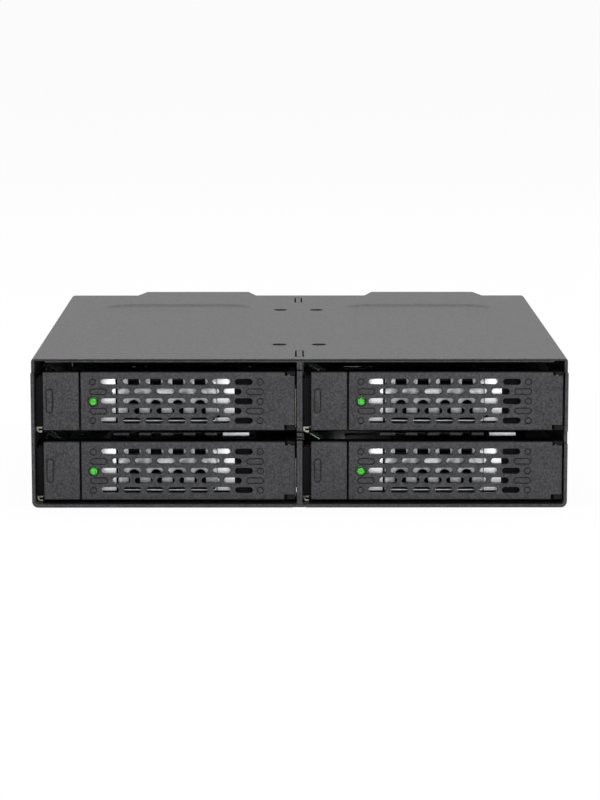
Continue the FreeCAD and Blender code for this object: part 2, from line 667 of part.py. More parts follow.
# Exhaust fans behind the rear panel, under the lid's tabs: a square frame with a motor seat, and a bladed rotor
fan_frame = body_of("fan_frame_left")
half_fan = fan_size / 2
seat = 1.3
slab(fan_frame, "XZ_Plane", 0, fan_depth, lambda s: s.rounded(-half_fan, -half_fan, half_fan, half_fan, 3))
cut(fan_frame, "XZ_Plane", -1, fan_depth + 1, lambda s: s.circle(0, 0, fan_bore))
slab(fan_frame, "XZ_Plane", fan_depth - seat, fan_depth, lambda s: s.circle(0, 0, fan_hub + 0.5))
slab(fan_frame, "XZ_Plane", fan_depth - seat, fan_depth, lambda s: s.box(-1.1, -(fan_bore + 0.3), 1.1, fan_bore + 0.3))
slab(fan_frame, "XZ_Plane", fan_depth - seat, fan_depth, lambda s: s.box(-(fan_bore + 0.3), -1.1, fan_bore + 0.3, 1.1))
cut(fan_frame, "XZ_Plane", -1, fan_depth + 1, lambda s: [
    s.circle(i * fan_pitch / 2, j * fan_pitch / 2, 1.75) for i in (-1, 1) for j in (-1, 1)])
cut(fan_frame, "XZ_Plane", fan_depth - seat - 1, fan_depth + 1, lambda s: s.circle(0, 0, 1.6))
rotor = body_of("fan_rotor_left")
rotor_rear = fan_depth - seat - 0.4
slab(rotor, "XZ_Plane", 0.9, rotor_rear, lambda s: s.circle(0, 0, fan_hub))
slab(rotor, "XZ_Plane", rotor_rear - 0.1, fan_depth, lambda s: s.circle(0, 0, 1.55))
blade_tip = fan_bore - fan_gap - 0.5
blade = loft(rotor, "AdditiveLoft", "XY_Plane", [
    (fan_hub - 0.5, lambda s: s.polygon([(-2.4, 1.6), (-1.7, 1.3), (2.4, 7.4), (1.7, 7.7)])),
    (blade_tip, lambda s: s.polygon([(-4.9, 3.0), (-4.5, 2.4), (4.1, 6.6), (3.7, 7.2)]))])
blades = rotor.newObject("PartDesign::PolarPattern", "fan_blades")
blades.Originals = [blade]
blades.Axis = (plane_of(rotor, "Y_Axis"), [""])
blades.Angle = 360
blades.Occurrences = 7
rotor.Tip = blades
for frame, wheel, side in ((fan_frame, rotor, -1),
                           (copy_of(fan_frame, "fan_frame_right"), copy_of(rotor, "fan_rotor_right"), 1)):
    place(frame, side * bay_centre + fan_shift, rear, fan_high)
    place(wheel, side * bay_centre + fan_shift, rear, fan_high)
group_of(fastener("fan_screw", "XZ_Plane", 1, 2.6, 1.2, 1.4, fan_depth + wall), "fan_screws", [
    (x + i * fan_pitch / 2, rear + fan_depth, fan_high + j * fan_pitch / 2)
    for x in fan_places for i in (-1, 1) for j in (-1, 1)])

# Tray frame: a folded steel channel that holds the drive by its bottom or side holes
frame = body_of("tray_frame_lower_left")
slab(frame, "XZ_Plane", frame_front, frame_end, lambda s: s.polygon([
    (-tray_half, 0), (tray_half, 0), (tray_half, tray_wall), (tray_inner, tray_wall),
    (tray_inner, tray_sheet), (-tray_inner, tray_sheet), (-tray_inner, tray_wall), (-tray_half, tray_wall)]))
dress(frame, "Fillet", tray_bend, lambda p: near(p.z, 0) and near(abs(p.x), tray_half))
dress(frame, "Fillet", tray_bend - tray_sheet, lambda p: near(p.z, tray_sheet) and near(abs(p.x), tray_inner))
slab(frame, "XZ_Plane", frame_front, frame_front + tray_sheet, lambda s: s.box(
    -tray_half, tray_bend, face_left + 0.1, tray_wall + 3))
clip_top = pipe_lift + pipe_radius
slab(frame, "YZ_Plane", -tray_half, -tray_inner, lambda s: [
    s.box(start, tray_wall - 0.2, start + 6, clip_top) for start in (34.0, 100.0)])
drive_holes = [drive_start + drive_length - drive_hole_rear - drive_hole_pitch * step for step in (0, 1)]
cut(frame, "XY_Plane", -1, 1, lambda s: [
    s.circle(side * drive_hole_span / 2, y, drive_hole) for side in (-1, 1) for y in drive_holes])
cut(frame, "YZ_Plane", -tray_half - 1, tray_half + 1, lambda s: [
    s.circle(y, tray_sheet + 3.0, drive_hole) for y in drive_holes])
window_half = tray_inner - 13
cut(frame, "XY_Plane", -1, 1, lambda s: [
    s.rounded(-window_half, start, window_half, start + 38, 4)
    for start in (drive_start + 7, drive_start + 53)])

# Front plate: the bright punched plate seen through the lever's vents
plate = body_of("front_plate_lower_left")
plate_front = face_thick + plate_gap
plate_rear = plate_front + plate_sheet
plate_left = face_left + plate_start
plate_right = plate_left + plate_width
slab(plate, "XZ_Plane", plate_front, plate_rear, lambda s: s.box(plate_left, 0.1, plate_right, plate_tall))
window_first = (plate_left + plate_right) / 2 - 0.2 - window_step * 1.5
window_side = window_wide / 2
dome = 7.6
windows = [
    cut(plate, "XZ_Plane", plate_front - 1, plate_rear + 1, lambda s: s.box(
        window_first - window_side, 12.5, window_first + window_side, 15.3)),
    cut(plate, "XZ_Plane", plate_front - 1, plate_rear + 1, lambda s: s.box(
        window_first - window_side, 3.5, window_first + window_side, dome)),
    cut(plate, "XZ_Plane", plate_front - 1, plate_rear + 1, lambda s: s.circle(window_first, dome, window_side)),
    cut(plate, "XZ_Plane", plate_front - 1, plate_rear + 1, lambda s: s.box(
        window_first - window_side, 1.0, window_first + window_side, 3.0))]
repeat(plate, windows, "X_Axis", 4, window_step)
cut(plate, "XZ_Plane", plate_front - 1, plate_rear + 1, lambda s: s.box(
    plate_left + 3.7, 1.6, plate_left + 4.2, 14.8))

# Bezel: the moulded block that carries the latch, the lever's hinge ears and the light pipe
bezel = body_of("tray_bezel_lower_left")
bezel_half = tray_inner - 0.05
bezel_rear = 14.0
bezel_top = 15.6
slab(bezel, "XZ_Plane", plate_rear, bezel_rear, lambda s: [
    s.box(-bezel_half, tray_sheet + 0.05, bezel_half, bezel_top),
    s.box(plate_left + 1.2, 2.2, plate_right - 1.1, bezel_top - 1.4)])
dress(bezel, "Fillet", tray_bend - tray_sheet + 0.1, lambda p: near(p.z, tray_sheet + 0.05) and near(abs(p.x), bezel_half))
cut(bezel, "XZ_Plane", plate_rear - 1, frame_front + tray_sheet + 0.05, lambda s: s.box(
    -bezel_half - 1, 0, face_left + 0.15, bezel_top + 1))
pocket_left = face_left - 0.8
cut(bezel, "XZ_Plane", plate_rear - 1, 9.5, lambda s: s.box(pocket_left, 4.8, latch_right - 0.9, 13.2))
cut(bezel, "XZ_Plane", plate_rear - 1, 6.6, lambda s: s.box(latch_right - 1.0, 6.6, lever_left + 2.6, 11.5))
pipe_place = face_left + light_x
cut(bezel, "XZ_Plane", plate_rear - 1, bezel_rear + 1, lambda s: s.circle(pipe_place, face_mid, light_radius + 0.05))
ear_reach = pin_radius + 0.35
ear_left = hinge_x - ear_reach
ear_thick = 0.75
slab(bezel, "XY_Plane", face_top - ear_thick - 1.3, face_top, lambda s: s.box(
    ear_left, pivot_y + 3.3, face_right - 0.3, 9))
slab(bezel, "XY_Plane", face_top - ear_thick, face_top, lambda s: s.box(
    ear_left, pivot_y - ear_reach, face_right, pivot_y + 3.4))
slab(bezel, "XY_Plane", face_lift + 0.05, face_lift + 1.3, lambda s: s.box(
    ear_left, pivot_y - ear_reach, face_right, frame_front - 0.05))
dress(bezel, "Fillet", ear_reach - 0.05, lambda p: near(p.x, ear_left) and near(p.y, pivot_y - ear_reach))
cut(bezel, "XY_Plane", face_lift + 1.3, face_top - ear_thick, lambda s: s.circle(hinge_x, pivot_y, 3.0))
cut(bezel, "XY_Plane", -1, face_top + 1, lambda s: s.circle(hinge_x, pivot_y, pin_radius + 0.02))

# Light pipe: a clear rod from the lamp hole in the lever, over the tray's edge to the board's lamp
pipe = body_of("light_pipe_lower_left")
tip_start = as_size(0.3)
run_x, run_z = pipe_x - pipe_place, pipe_lift - face_mid
run = Size(math.hypot(run_x.value, run_z.value), f"sqrt({run_x.text} * {run_x.text} + {run_z.text} * {run_z.text})")
slab(pipe, "XZ_Plane", tip_start, bezel_rear, lambda s: s.circle(0, 0, light_radius))
route = [(as_size(x), as_size(y)) for x, y in (
    (0, bezel_rear - 0.5), (0, bezel_rear + 0.9), (run, bezel_rear + 7.5), (run, frame_end))]
spine = pipe.newObject("Sketcher::SketchObject", "light_route")
spine.AttachmentSupport = [(plane_of(pipe, "XY_Plane"), "")]
spine.MapMode = "FlatFace"
points = [FreeCAD.Vector(x.value, y.value, 0) for x, y in route]
spine.addGeometry([Part.LineSegment(a, b) for a, b in zip(points, points[1:])], False)
for i in range(2):
    spine.addConstraint(Sketcher.Constraint("Coincident", i, 2, i + 1, 1))
for i, (x, y) in enumerate(route):
    line, end = (i, 1) if i < 3 else (2, 2)
    for kind, size in (("DistanceX", x), ("DistanceY", y)):
        index = spine.addConstraint(Sketcher.Constraint(kind, -1, 1, line, end, size.value))
        spine.setExpression(f"Constraints[{index}]", size.text)
section = Outline(pipe, "XZ_Plane", -(bezel_rear - 0.5))
section.circle(0, 0, pipe_radius)
bend_pipe = pipe.newObject("PartDesign::AdditivePipe", "light_bends")
bend_pipe.Profile = section.sketch
bend_pipe.Spine = (spine, [])
bend_pipe.Transition = "Round corner"
pipe.Tip = bend_pipe
pipe.Placement.Rotation = FreeCAD.Rotation(FreeCAD.Vector(0, 1, 0), 10)
pipe.setExpression(".Placement.Rotation.Angle", f"atan2(-({run_z.text}); {run_x.text})")

# Hinge pin of the lever
pin = body_of("hinge_pin_lower_left")
slab(pin, "XY_Plane", face_lift + 0.1, face_top - 0.05, lambda s: s.circle(hinge_x, pivot_y, pin_radius))

# Lever: the vented door of the tray, with its hinge knuckle at the right and its hook at the left
lever = body_of("lever_lower_left")
notch_wide, notch_tall, ear_slit = 3.0, 1.45, 0.2
slab(lever, "XZ_Plane", 0, face_thick, lambda s: s.polygon([
    (lever_left, face_lift), (face_right - notch_wide, face_lift), (face_right - notch_wide, face_lift + notch_tall),
    (face_right, face_lift + notch_tall), (face_right, face_top - ear_thick - ear_slit),
    (ear_left - 0.15, face_top - ear_thick - ear_slit), (ear_left - 0.15, face_top), (lever_left, face_top)]))
dress(lever, "Fillet", 0.6, lambda p: near(p.x, face_right) and near(p.y, 0))
dress(lever, "Fillet", face_edge, lambda p: near(p.y, 0) and (
    near(p.z, face_lift) or near(p.z, face_top) or near(p.x, lever_left)))
slab(lever, "XY_Plane", face_lift + notch_tall, face_top - ear_thick - ear_slit, lambda s: s.circle(
    hinge_x, pivot_y, pivot_y))
cut(lever, "XY_Plane", 0, face_top + 1, lambda s: s.circle(hinge_x, pivot_y, pin_radius + pin_play))
hook_arm, hook_out = lever_left + 1.75, lever_left - 0.15
slab(lever, "XY_Plane", face_mid - 2, face_mid + 2, lambda s: s.polygon([
    (hook_arm - 0.7, face_thick - 0.1), (hook_arm, face_thick - 0.1), (hook_arm, 5.6),
    (hook_out, 5.6), (hook_out + 0.5, 4.4), (hook_arm - 0.7, 4.4)]))
slot_column = face_left + vent_odd
slots = cut(lever, "XZ_Plane", -1, face_thick + 0.05, lambda s: [
    s.slot(slot_column, face_mid + vent_row * row, vent_long, vent_tall) for row in (-2, 0, 2)])
repeat(lever, [slots], "X_Axis", 7, vent_step)
slots = cut(lever, "XZ_Plane", -1, face_thick + 0.05, lambda s: [
    s.slot(face_left + vent_even, face_mid + vent_row * row, vent_long, vent_tall) for row in (-1, 1)])
repeat(lever, [slots], "X_Axis", 6, vent_step)
cut(lever, "XZ_Plane", -1, face_thick + 1, lambda s: s.circle(pipe_place, face_mid, light_radius + light_play))
mark_left, mark_right = vent_even - vent_step, vent_even + vent_step * 6
cut(lever, "XZ_Plane", -1, mark_depth, lambda s: [
    s.slot(face_left + x, face_mid + vent_row * row, vent_long - 0.3, vent_tall)
    for x in (mark_left, mark_right) for row in (-1, 1)])
cut(lever, "XZ_Plane", -1, mark_depth, lambda s: [
    s.circle(face_left + x, face_mid + vent_row * row, 1.0)
    for x, row in ((light_x - 0.1, -2), (light_x - 0.1, 2), (59.0, -2), (59.0, 0), (59.0, 2))])

# Latch slider: pushed to the left to free the lever's hook, with a thumb mark on its face
latch = body_of("latch_slider_lower_left")
slab(latch, "XZ_Plane", 0, face_thick, lambda s: s.box(face_left, face_lift, latch_right, face_top))
dress(latch, "Fillet", face_edge, lambda p: near(p.y, 0))
stem_left = latch_right - 5.0
slab(latch, "XY_Plane", face_mid - 3, face_mid + 3, lambda s: s.box(
    stem_left, face_thick - 0.1, latch_right - 2, 8))
slab(latch, "XY_Plane", face_mid - 2, face_mid + 2, lambda s: s.box(latch_right - 2.1, 2.5, latch_right, 3.8))
mark_x, mark_z = face_left + 1.75, face_top - 7.85
cut(latch, "XZ_Plane", -1, mark_depth, lambda s: [
    s.slot(mark_x, mark_z, 6.9, 2.1, upright=True), s.slot(mark_x, mark_z, 6.2, 1.4, upright=True)])

# Latch spring: a short coil of flat wire between the bezel's pocket wall and the slider's stem
spring = body_of("latch_spring_lower_left")
spring_reach = stem_left - latch_stroke - pocket_left - 0.3
wire = 0.4
turns = 3
coil = Outline(spring, "XY_Plane", 0)
coil.box(0.0, 1.3, wire, 1.3 + wire)
helix = spring.newObject("PartDesign::AdditiveHelix", "coil")
helix.Profile = coil.sketch
helix.ReferenceAxis = (coil.sketch, ["H_Axis"])
helix.Mode = "height-turns-angle"
helix.setExpression("Height", (spring_reach - wire).text)
helix.Turns = turns
spring.Tip = helix

# Each tray is the same set of pieces, placed in its bay
tray_pieces = [("tray_frame", frame, (0, 0, 0)), ("front_plate", plate, (0, 0, 0)), ("tray_bezel", bezel, (0, 0, 0)),
               ("light_pipe", pipe, (pipe_place, 0, face_mid)), ("hinge_pin", pin, (0, 0, 0)),
               ("lever", lever, (0, 0, 0)), ("latch_slider", latch, (0, 0, 0)),
               ("latch_spring", spring, (pocket_left, 5.7, face_mid))]
for row, row_name in ((0, "lower"), (1, "upper")):
    for column, column_name in ((-1, "left"), (1, "right")):
        for name, original, (x, y, z) in tray_pieces:
            piece = original
            if (row, column) != (0, -1):
                piece = copy_of(original, f"{name}_{row_name}_{column_name}")
            if name == "light_pipe" and piece is not original:
                piece.Placement.Rotation = FreeCAD.Rotation(FreeCAD.Vector(0, 1, 0), 10)
                piece.setExpression(".Placement.Rotation.Angle", f"atan2(-({run_z.text}); {run_x.text})")
            place(piece, column * bay_centre + x, front + face_setback + y, tray_floor + row * row_pitch + z)

doc.recompute()


def faults():
    """Every object that failed, every cut that removed nothing and every piece with no valid solid."""
    found = []
    for thing in doc.Objects:
        if {"Invalid", "Error"} & set(thing.State):
            found.append(f"{thing.Name} failed")
        if thing.TypeId == "PartDesign::Pocket":
            if thing.Shape.Volume > thing.BaseFeature.Shape.Volume - 1e-6:
                found.append(f"{thing.Name} cuts nothing")
        if thing.TypeId == "Sketcher::SketchObject" and not thing.FullyConstrained:
            found.append(f"{thing.Name} is loose")
    for node in NODES:
        if node.Shape.isNull() or not node.Shape.isValid() or not node.Shape.Solids:
            found.append(f"{node.Label} has no valid solid")
    return found


problems = faults()
if problems:
    raise RuntimeError("; ".join(problems))
os.makedirs("parts", exist_ok=True)
for node in NODES:
    node.Shape.exportStep(f"parts/{node.Label}.step")
print(len(NODES), "pieces written")
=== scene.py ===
from math import cos, pi, radians, sin

import bpy
from mathutils import Matrix, Vector


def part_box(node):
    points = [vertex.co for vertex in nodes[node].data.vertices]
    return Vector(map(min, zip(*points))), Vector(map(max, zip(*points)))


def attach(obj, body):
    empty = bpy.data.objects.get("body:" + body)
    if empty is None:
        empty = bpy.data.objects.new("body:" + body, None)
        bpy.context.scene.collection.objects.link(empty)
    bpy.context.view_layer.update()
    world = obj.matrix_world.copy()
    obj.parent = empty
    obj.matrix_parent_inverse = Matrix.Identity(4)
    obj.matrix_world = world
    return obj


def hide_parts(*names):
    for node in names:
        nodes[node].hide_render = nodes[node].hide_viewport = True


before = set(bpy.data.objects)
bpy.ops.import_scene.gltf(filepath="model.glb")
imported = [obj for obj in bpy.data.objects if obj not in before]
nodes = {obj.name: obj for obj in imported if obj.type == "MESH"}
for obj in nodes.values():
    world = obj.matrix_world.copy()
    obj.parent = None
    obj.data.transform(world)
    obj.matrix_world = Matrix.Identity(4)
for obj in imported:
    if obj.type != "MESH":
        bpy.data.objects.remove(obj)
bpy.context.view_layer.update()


# Camera: low in front of the tray faces, a little above the lid, and far enough off for its long lens. It
# stands slightly left of the middle and looks down at the lid's front edge.
mm = 0.001
tilt_down, turn_right = 8.786, 0.199
camera = bpy.data.objects.new("camera", bpy.data.cameras.new("camera"))
bpy.context.collection.objects.link(camera)
camera.location = (-2.53 * mm, -833.09 * mm, 147.06 * mm)
camera.rotation_euler = (radians(90 - tilt_down), 0, radians(-turn_right))
camera.data.sensor_fit = "VERTICAL"
camera.data.sensor_height = 24
camera.data.lens = 84.89
camera.data.clip_start = 0.01
bpy.context.scene.camera = camera
bpy.context.scene.view_settings.view_transform = "Standard"


# Floor: a wide sheet of matt white paper under the part. Camera and mirrored rays see it as nearly plain
# white, so that the background is even, and what is left of its own light keeps the part's soft shadow.
floor_radius, floor_gap = 16, 0.05 * mm
plain_share = 0.94


def linear(colour):
    """A colour written as sRGB hex, in the linear values that the shaders take."""
    channels = [int(colour[place:place + 2], 16) / 255 for place in (0, 2, 4)]
    return [c / 12.92 if c <= 0.04045 else ((c + 0.055) / 1.055) ** 2.4 for c in channels] + [1]


def add_node(tree, kind, settings=None, links=None):
    """One shader node: its settings and socket values by name, a ramp's tones, and what is linked in."""
    node = tree.nodes.new(kind)
    for name, value in (settings or {}).items():
        if name == "tones":
            for element, (place, colour) in zip(node.color_ramp.elements, value):
                element.position = place
                element.color = linear(colour)
        elif isinstance(name, str) and hasattr(node, name):
            setattr(node, name, value)
        else:
            node.inputs[name].default_value = value
    for name, source in (links or {}).items():
        tree.links.new(source, node.inputs[name])
    return node


def new_material(name):
    """An empty material and its node tree."""
    material = bpy.data.materials.new(name)
    material.use_nodes = True
    material.node_tree.nodes.clear()
    return material, material.node_tree


bpy.ops.object.select_all(action="DESELECT")
bpy.ops.mesh.primitive_circle_add(vertices=64, radius=floor_radius, fill_type="NGON",
                                  location=(0, 0, -floor_gap))
floor = bpy.context.object
floor.name = "floor"
paper, tree = new_material("white_paper")
sheet = add_node(tree, "ShaderNodeBsdfDiffuse", {"Color": linear("f6f6f6")})
glow = add_node(tree, "ShaderNodeEmission", {"Color": linear("ffffff"), "Strength": 1.0})
path = add_node(tree, "ShaderNodeLightPath")
seen = add_node(tree, "ShaderNodeMath", {"operation": "MAXIMUM"},
                {0: path.outputs["Is Camera Ray"], 1: path.outputs["Is Glossy Ray"]})
share = add_node(tree, "ShaderNodeMath", {"operation": "MULTIPLY", 1: plain_share}, {0: seen.outputs[0]})
mix = add_node(tree, "ShaderNodeMixShader",
               links={0: share.outputs[0], 1: sheet.outputs[0], 2: glow.outputs[0]})
add_node(tree, "ShaderNodeOutputMaterial", links={"Surface": mix.outputs[0]})
floor.data.materials.append(paper)


# Studio: a pale room with a large soft box above, a smaller one at the left and a broad low one in front.
# Camera, mirrored and refracted rays see the room as plain white. It lights the part at under half of that.
room_light, plain_white = 0.45, 1.0
world = bpy.data.worlds.new("studio")
bpy.context.scene.world = world
world.use_nodes = True
tree = world.node_tree
tree.nodes.clear()
path = add_node(tree, "ShaderNodeLightPath")
seen = add_node(tree, "ShaderNodeMath", {"operation": "MAXIMUM"},
                {0: path.outputs["Is Camera Ray"], 1: path.outputs["Is Glossy Ray"]})
shown = add_node(tree, "ShaderNodeMath", {"operation": "MAXIMUM"},
                 {0: seen.outputs[0], 1: path.outputs["Is Transmission Ray"]})
room = add_node(tree, "ShaderNodeBackground", {"Color": linear("ffffff"), "Strength": room_light})
wall = add_node(tree, "ShaderNodeBackground", {"Color": linear("ffffff"), "Strength": plain_white})
mix = add_node(tree, "ShaderNodeMixShader",
               links={0: shown.outputs[0], 1: room.outputs[0], 2: wall.outputs[0]})
add_node(tree, "ShaderNodeOutputWorld", links={"Surface": mix.outputs[0]})
for name, place, size, watts in (("lamp_above", (0.1, 0.15, 1.1), 1.0, 7.8),
                                 ("lamp_left", (-0.9, -0.6, 0.7), 0.5, 4),
                                 ("lamp_front", (0.3, -1.3, 0.45), 0.8, 5)):
    lamp = bpy.data.objects.new(name, bpy.data.lights.new(name, "AREA"))
    bpy.context.collection.objects.link(lamp)
    lamp.location = place
    lamp.rotation_euler = (-Vector(place)).to_track_quat("-Z", "Y").to_euler()
    lamp.data.size = size
    lamp.data.energy = watts


# Housing: folded 0.9 mm steel sheet under a black powder coat, which bakes to a fine, even orange-peel
# grain. The sheets' cut edges are broken to a small round, where the coat catches the light.
powder_grain = 0.6 * mm
cut_edge = 0.12 * mm
smooth_below = radians(32)


def grained(name, colour, painted_top_tone, rough, grain, relief_depth, shine=0.5):
    """A dull skin of fine grains, such as powder coat or moulded ABS. Its tone varies at random with the
    grain, and the paler tone on the grains' tops is a painted highlight.
    """
    material, tree = new_material(name)
    where = add_node(tree, "ShaderNodeTexCoord").outputs["Object"]
    grains = add_node(tree, "ShaderNodeTexNoise", {"Scale": 1 / grain, "Detail": 2.0, "Roughness": 0.6},
                      {"Vector": where}).outputs["Fac"]
    # Painted highlight: the paler tone follows the same noise as the bump, so the grains' tops are painted
    # lighter.
    spread = add_node(tree, "ShaderNodeValToRGB", {"tones": ((0.38, colour), (0.66, painted_top_tone))}, {"Fac": grains})
    relief = add_node(tree, "ShaderNodeBump", {"Strength": 0.8, "Distance": relief_depth}, {"Height": grains})
    skin = add_node(tree, "ShaderNodeBsdfPrincipled", {"Roughness": rough, "Specular IOR Level": shine},
                    {"Base Color": spread.outputs["Color"], "Normal": relief.outputs["Normal"]})
    add_node(tree, "ShaderNodeOutputMaterial", links={"Surface": skin.outputs[0]})
    return material


def finish(piece, name, body, material, replaced=()):
    """Names a finished piece, dresses it, says what it rides on, and hides the CAD nodes that it stands for.
    """
    piece.name = name
    piece.data.materials.clear()
    piece.data.materials.append(material)
    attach(piece, body)
    if replaced:
        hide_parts(*replaced)


def pick_only(piece):
    """Selects one object alone and makes it the active one."""
    bpy.ops.object.select_all(action="DESELECT")
    piece.select_set(True)
    bpy.context.view_layer.objects.active = piece


def round_edges(piece, width, steps=2, sharper_than=40):
    """Breaks every edge that turns by more than the angle, and shades the rest smooth."""
    pick_only(piece)
    bevel = piece.modifiers.new("round", "BEVEL")
    bevel.width = width
    bevel.segments = steps
    bevel.limit_method = "ANGLE"
    bevel.angle_limit = radians(sharper_than)
    bevel.miter_outer = "MITER_ARC"
    bpy.ops.object.modifier_apply(modifier="round")
    bpy.ops.object.shade_smooth_by_angle(angle=smooth_below)


def softened(node, width=cut_edge, steps=2):
    """The CAD node's own shape as a new mesh, its triangles merged to flat faces and its edges broken."""
    weld, flat_within, flat_weight = 0.002 * mm, radians(0.6), 90
    piece = bpy.data.objects.new(node, nodes[node].data.copy())
    bpy.context.collection.objects.link(piece)
    pick_only(piece)
    bpy.ops.object.mode_set(mode="EDIT")
    bpy.ops.mesh.select_all(action="SELECT")
    bpy.ops.mesh.remove_doubles(threshold=weld)
    bpy.ops.mesh.dissolve_limited(angle_limit=flat_within)
    bpy.ops.object.mode_set(mode="OBJECT")
    round_edges(piece, width, steps)
    even = piece.modifiers.new("even", "WEIGHTED_NORMAL")
    even.weight = flat_weight
    even.keep_sharp = True
    bpy.ops.object.modifier_apply(modifier="even")
    return piece


cage_paint = grained("black_powder_coat", "141416", "3c3c3f", rough=0.5, grain=powder_grain,
                     relief_depth=0.08 * mm)
for node in ("base_shell", "rear_panel", "panel_rivets_left", "panel_rivets_right",
             "divider_left", "divider_right"):
    finish(softened(node), node + "_coated", "cage", cage_paint, [node])


# Divider's foot: the seam of the two divider sheets ends in a small folded foot of the same coated steel,
# which fills the notch in the base's front edge.
foot_half, foot_front, foot_back = 1.68 * mm, -73.95 * mm, -71.55 * mm
foot_low, foot_high = 0.06 * mm, 0.84 * mm


def block(low, high):
    """A plain block between two corners, to be shaped or joined."""
    bpy.ops.object.select_all(action="DESELECT")
    bpy.ops.mesh.primitive_cube_add(size=1, location=[(a + b) / 2 for a, b in zip(low, high)])
    piece = bpy.context.object
    piece.scale = [b - a for a, b in zip(low, high)]
    bpy.ops.object.transform_apply(location=True, rotation=True, scale=True)
    return piece


foot = block((-foot_half, foot_front, foot_low), (foot_half, foot_back, foot_high))
round_edges(foot, cut_edge)
finish(foot, "divider_foot", "cage", cage_paint)


# Lid: the same coated sheet, pressed with two sunk panels and held down by four screws near the middle.
# They sit in round holes that pierce the sheet.
LID_SCREWS = [(x, y) for x in (-5.55 * mm, 5.55 * mm) for y in (-44.5 * mm, 35.8 * mm)]
lid_top, hole_radius, hole_punch = 41.0 * mm, 2.2 * mm, 3.4 * mm


def rod(centre, radius, length, along="Y", sides=24):
    """A round bar about its centre."""
    bpy.ops.object.select_all(action="DESELECT")
    turn = {"X": (0, pi / 2, 0), "Y": (pi / 2, 0, 0), "Z": (0, 0, 0)}[along]
    bpy.ops.mesh.primitive_cylinder_add(vertices=sides, radius=radius, depth=length,
                                        location=centre, rotation=turn)
    bpy.ops.object.transform_apply(location=True, rotation=True, scale=True)
    return bpy.context.object


def joined(pieces):
    """Several objects as one."""
    bpy.ops.object.select_all(action="DESELECT")
    for piece in pieces:
        piece.select_set(True)
    bpy.context.view_layer.objects.active = pieces[0]
    bpy.ops.object.join()
    return pieces[0]


def combine(piece, other, how):
    """Cuts another shape out of a piece, or adds it on."""
    pick_only(piece)
    work = piece.modifiers.new("work", "BOOLEAN")
    work.object = other
    work.operation = how
    work.solver = "EXACT"
    work.use_self = True
    bpy.ops.object.modifier_apply(modifier="work")
    bpy.data.objects.remove(other)
    return piece


lid = softened("top_cover")
holes = joined([rod((x, y, lid_top), hole_radius, hole_punch, "Z", 48) for x, y in LID_SCREWS])
lid = combine(lid, holes, "DIFFERENCE")
finish(lid, "top_cover_coated", "cage", cage_paint, ["top_cover"])


# Shelves: the upper bays' floors, of the same coated sheet. Each is cut away at the front to a comb of five
# short fingers and one wide foot, and a broad rib crosses its middle and stiffens it.
SIDES = ("left", "right")
bay_offset = 36.425 * mm
BAY_X = {"left": -bay_offset, "right": bay_offset}
shelf_low, shelf_high, past_shelf = 19.3 * mm, 20.1 * mm, 1 * mm
comb_front, comb_back = -75 * mm, -60 * mm
comb_gaps = [(-40, -14.5), (-10.2, -7.4), (-4.2, -1.35), (1.8, 4.7), (7.9, 10.7), (13.9, 15.5), (22.6, 40)]
rib_half, rib_front, rib_back = 27 * mm, 13 * mm, 38 * mm
for side in SIDES:
    notches = [block((BAY_X[side] + low * mm, comb_front, shelf_low - past_shelf),
                     (BAY_X[side] + high * mm, comb_back, shelf_high + past_shelf))
               for low, high in comb_gaps]
    comb = combine(softened("shelf_" + side), joined(notches), "DIFFERENCE")
    rib = block((BAY_X[side] - rib_half, rib_front, shelf_low),
                (BAY_X[side] + rib_half, rib_back, shelf_high))
    comb = combine(comb, rib, "UNION")
    finish(comb, "comb_shelf_" + side, "cage", cage_paint, ["shelf_" + side])


# Levers: the vented door of each tray, moulded in black ABS with a fine spark grain. Rounded slots run
# through it in five rows, engraved outlines carry the pattern on to both ends, and a knuckle at the right
# turns on a steel pin.
TRAYS = ("lower_left", "lower_right", "upper_left", "upper_right")
cage_front, first_floor, floor_rise = -73.6 * mm, 1.0 * mm, 19.2 * mm
TRAY_PLACE = {tray: Vector((BAY_X["right" if "right" in tray else "left"], cage_front,
                            first_floor + floor_rise * ("upper" in tray))) for tray in TRAYS}
face_left, face_right, face_low, face_high = -33.295 * mm, 35.205 * mm, 1.15 * mm, 17.05 * mm
face_thick, past_face = 2.0 * mm, 1 * mm
face_mid = (face_low + face_high) / 2
lever_left, latch_right = face_left + 10.25 * mm, face_left + 9.8 * mm
hinge_x, hinge_y, pin_bore, bore_punch = 33.505 * mm, 1.4 * mm, 0.65 * mm, 20 * mm
knuckle_low, knuckle_high = face_low + 1.45 * mm, face_high - 0.95 * mm
low_ear_left, high_ear_left = face_right - 3.0 * mm, hinge_x - 1.1 * mm
vent_long, vent_tall, vent_mid, vent_punch = 4.9 * mm, 1.75 * mm, 0.9 * mm, 3.2 * mm
vent_row, vent_step = 2.66 * mm, 6.08 * mm
seven_start, six_start = 18.05 * mm, 21.1 * mm
ring_tall, dot_long, dot_tall = vent_tall + 0.2 * mm, 2.01 * mm, 2.0 * mm
left_dots, right_dots = 13.5 * mm, 59 * mm
lamp_x, lamp_hole, lamp_punch = face_left + 13.6 * mm, 1.55 * mm, 4 * mm
hook_left, hook_right = lever_left + 1.05 * mm, lever_left + 1.75 * mm
hook_half, hook_back = 2 * mm, 5.6 * mm
barb_left, barb_right, barb_front = lever_left - 0.15 * mm, lever_left + 1.1 * mm, 4.6 * mm
bite = 0.1 * mm


